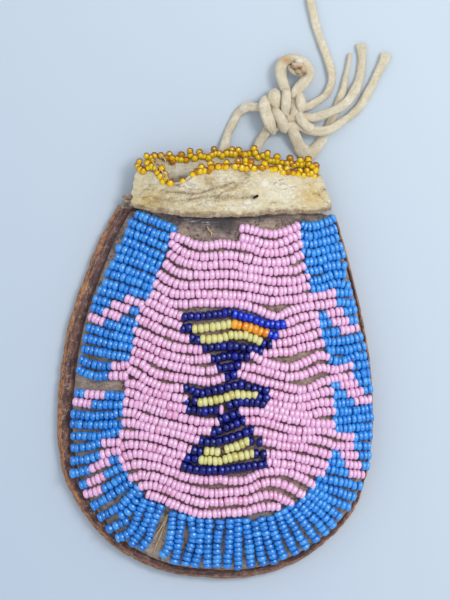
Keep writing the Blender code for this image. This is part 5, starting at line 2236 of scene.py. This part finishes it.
@dataclass
class SinewThreads:
    """Loose ends of the sewing thread that show between the beads."""

    strands: tuple[Points, ...] = (
        ((207.5, 227), (209, 230.5), (212, 234), (211, 238)),
        ((168, 512), (165, 519), (161, 527), (155, 535), (152, 541)),
        ((170, 510), (167, 518), (164, 526), (160, 536), (156, 545), (155, 553)),
        ((166, 516), (163, 524), (157, 533), (154, 538)),
        ((222, 448), (224, 451), (226, 449.5)), ((124, 383), (122.5, 386), (123, 388)),
        ((287, 166.5), (290, 169), (293, 169.5)), ((184, 343), (188, 345), (193, 344)),
        ((155, 158), (159, 162), (161, 167), (160, 172)), ((158, 160), (163, 164), (166, 170)),
        ((156, 166), (161, 170), (164, 176), (163, 181)), ((160, 157), (165, 160), (167, 165)),
        ((153, 163), (157, 168), (158, 174)), ((162, 172), (167, 177), (170, 183)),
    )
    lift: float = 0.25 * MM
    lift_above: float = 1.9 * MM
    above_row: float = 200.0
    finish: Sinew = Sinew()

    def _lifted(self, strand: Points) -> np.ndarray:
        """Lift a strand over the beaded front or, higher up, over the collar.

        Args:
            strand: its pixels.

        Returns:
            Its points.
        """
        flat = DRAWING.flat(strand)
        rise = self.lift_above if strand[0][1] < self.above_row else self.lift
        return np.column_stack([flat, FORM.skin_at(flat) + rise])

    def build(self) -> None:
        """Make the threads as one piece."""
        strip = Strip(width=0.42 * MM, thickness=0.30 * MM, sides=7, step=0.35 * MM,
                      uneven=0.2, twist=0.8, taper=0.5)
        piece, _, _ = strip.joined("sinew_threads", map(self._lifted, self.strands), SEED + 80)
        settle(piece, self.finish.material())


@dataclass
class HideScrap:
    """The ragged grey scrap that sticks out beside the collar's left lower corner."""

    lumps: tuple[tuple[tuple[float, float, float], ...], ...] = (
        ((136, 203, 3.9), (131, 201.5, 4.2), (126, 201, 4.0), (122.5, 202.5, 3.4)),
        ((134, 199, 4.2), (130, 197.5, 4.5), (126, 196.5, 4.4), (123, 198, 3.9)),
        ((133, 206, 3.7), (127, 206, 3.8), (122, 208, 3.4), (118, 210.5, 3.2)),
    )

    paling: float = 0.8
    finish: GreyHide = GreyHide()

    def build(self) -> None:
        """Make the scrap as one piece."""
        strip = Strip(width=1.2 * MM, thickness=0.6 * MM, sides=12, step=0.2 * MM, uneven=0.38,
                      twist=0.9, taper=0.5, fold=0.35)
        lines = [np.column_stack([DRAWING.flat(lump[:, :2]), lump[:, 2] * MM])
                 for lump in map(np.array, self.lumps)]
        piece, points, _ = strip.joined("hide_scrap", lines, SEED + 95)
        paint_points(piece, "paling", np.full(len(points), self.paling))
        settle(piece, self.finish.material())


@dataclass
class CollarStitch:
    """A near-black strip of painted shade in the hole where a thong was stitched through the collar.
    """

    hole: Points = ((253.2, 197.9), (255.4, 197.1), (258.3, 195.4))
    lift: float = 1.22 * MM
    finish: HoleShade = HoleShade()

    def build(self) -> None:
        """Make the hole's floor of painted shade."""
        flat = DRAWING.flat(self.hole)
        heights = FORM.skin_at(flat) + FORM.clearance + self.lift
        line = np.column_stack([DRAWING.raised(flat, heights), heights])
        strip = Strip(width=0.62 * MM, thickness=0.22 * MM, sides=10, step=0.15 * MM,
                      twist=0.0, uneven=0.12)
        piece, _, _ = strip.joined("stitch_hole", [line], SEED + 90)
        settle(piece, self.finish.material(), ["collar_stitch"])


@dataclass
class Studio:
    """The pale blue card, the soft lights and the camera straight above."""

    card: float = 1.4
    card_drop: float = 0.02 * MM
    lens: float = 240.0
    sensor: float = 36.0
    sky: float = 0.83
    sky_tint: Colour = (0.92, 0.965, 1.0)
    lamp_power: float = 2.9
    lamp_tint: Colour = (1.0, 0.98, 0.95)
    lamp_size: float = 0.28
    lamp_place: tuple[float, float, float] = (0.42, 0.22, 0.72)
    finish: PaleBlueCard = PaleBlueCard()

    def camera(self) -> None:
        """Set the camera over the middle of the drawing, looking straight down."""
        made = bpy.data.cameras.new("camera")
        made.lens = self.lens
        made.sensor_width = self.sensor
        made.clip_start, made.clip_end = 0.05, 5.0
        eye = linked("camera", made)
        eye.location = (*DRAWING.flat([DRAWING.centre])[0], DRAWING.camera_height)
        bpy.context.scene.camera = eye

    def floor(self) -> None:
        """Lay the card under the pouch."""
        half = self.card / 2
        corners = [(-half, -half, 0.0), (half, -half, 0.0), (half, half, 0.0), (-half, half, 0.0)]
        mesh = bpy.data.meshes.new("card")
        mesh.from_pydata(corners, [], [(0, 1, 2, 3)])
        mesh.materials.append(self.finish.material())
        made = linked("card", mesh)
        made.location.z = -self.card_drop
        made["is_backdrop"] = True

    def lights(self) -> None:
        """Light the pouch softly from above."""
        world = bpy.data.worlds.new("sky")
        world.use_nodes = True
        ground = world.node_tree.nodes["Background"]
        ground.inputs["Color"].default_value = (*self.sky_tint, 1.0)
        ground.inputs["Strength"].default_value = self.sky
        bpy.context.scene.world = world
        lamp = bpy.data.lights.new("soft_lamp", "AREA")
        lamp.shape = "SQUARE"
        lamp.size = self.lamp_size
        lamp.energy = self.lamp_power
        lamp.color = self.lamp_tint
        made = linked("soft_lamp", lamp)
        made.location = self.lamp_place
        made.rotation_euler = (-made.location).to_track_quat("-Z", "Y").to_euler()
        bpy.context.scene.view_settings.view_transform = "Standard"

    def build(self) -> None:
        """Set up the whole studio."""
        self.camera()
        self.floor()
        self.lights()


def save_sizes() -> None:
    """Log the frame's box and the finished model's box."""
    low, high = CAD_BOX
    new_low, new_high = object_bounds()
    sizes = {"cad": [list(low), list(high)], "visual": [list(new_low), list(new_high)]}
    for name, corners in sizes.items():
        spans = [(top - bottom) / MM for bottom, top in zip(*corners)]
        LOG.info("%s box: %.1f x %.1f x %.1f mm", name, *spans)


def main() -> None:
    """Build the pouch around its frame, piece by piece."""
    logging.basicConfig(level=logging.INFO, format="%(name)s: %(message)s")
    Studio().build()
    ThongSet().build()
    HideBack().build()
    HideFront().build()
    SkinCollar().build()
    CollarStitch().build()
    HideScrap().build()
    tree = BeadTree()
    Beadwork().build(tree)
    AmberEdging().build(tree)
    SinewThreads().build()
    save_sizes()


if __name__ == "__main__":
    main()
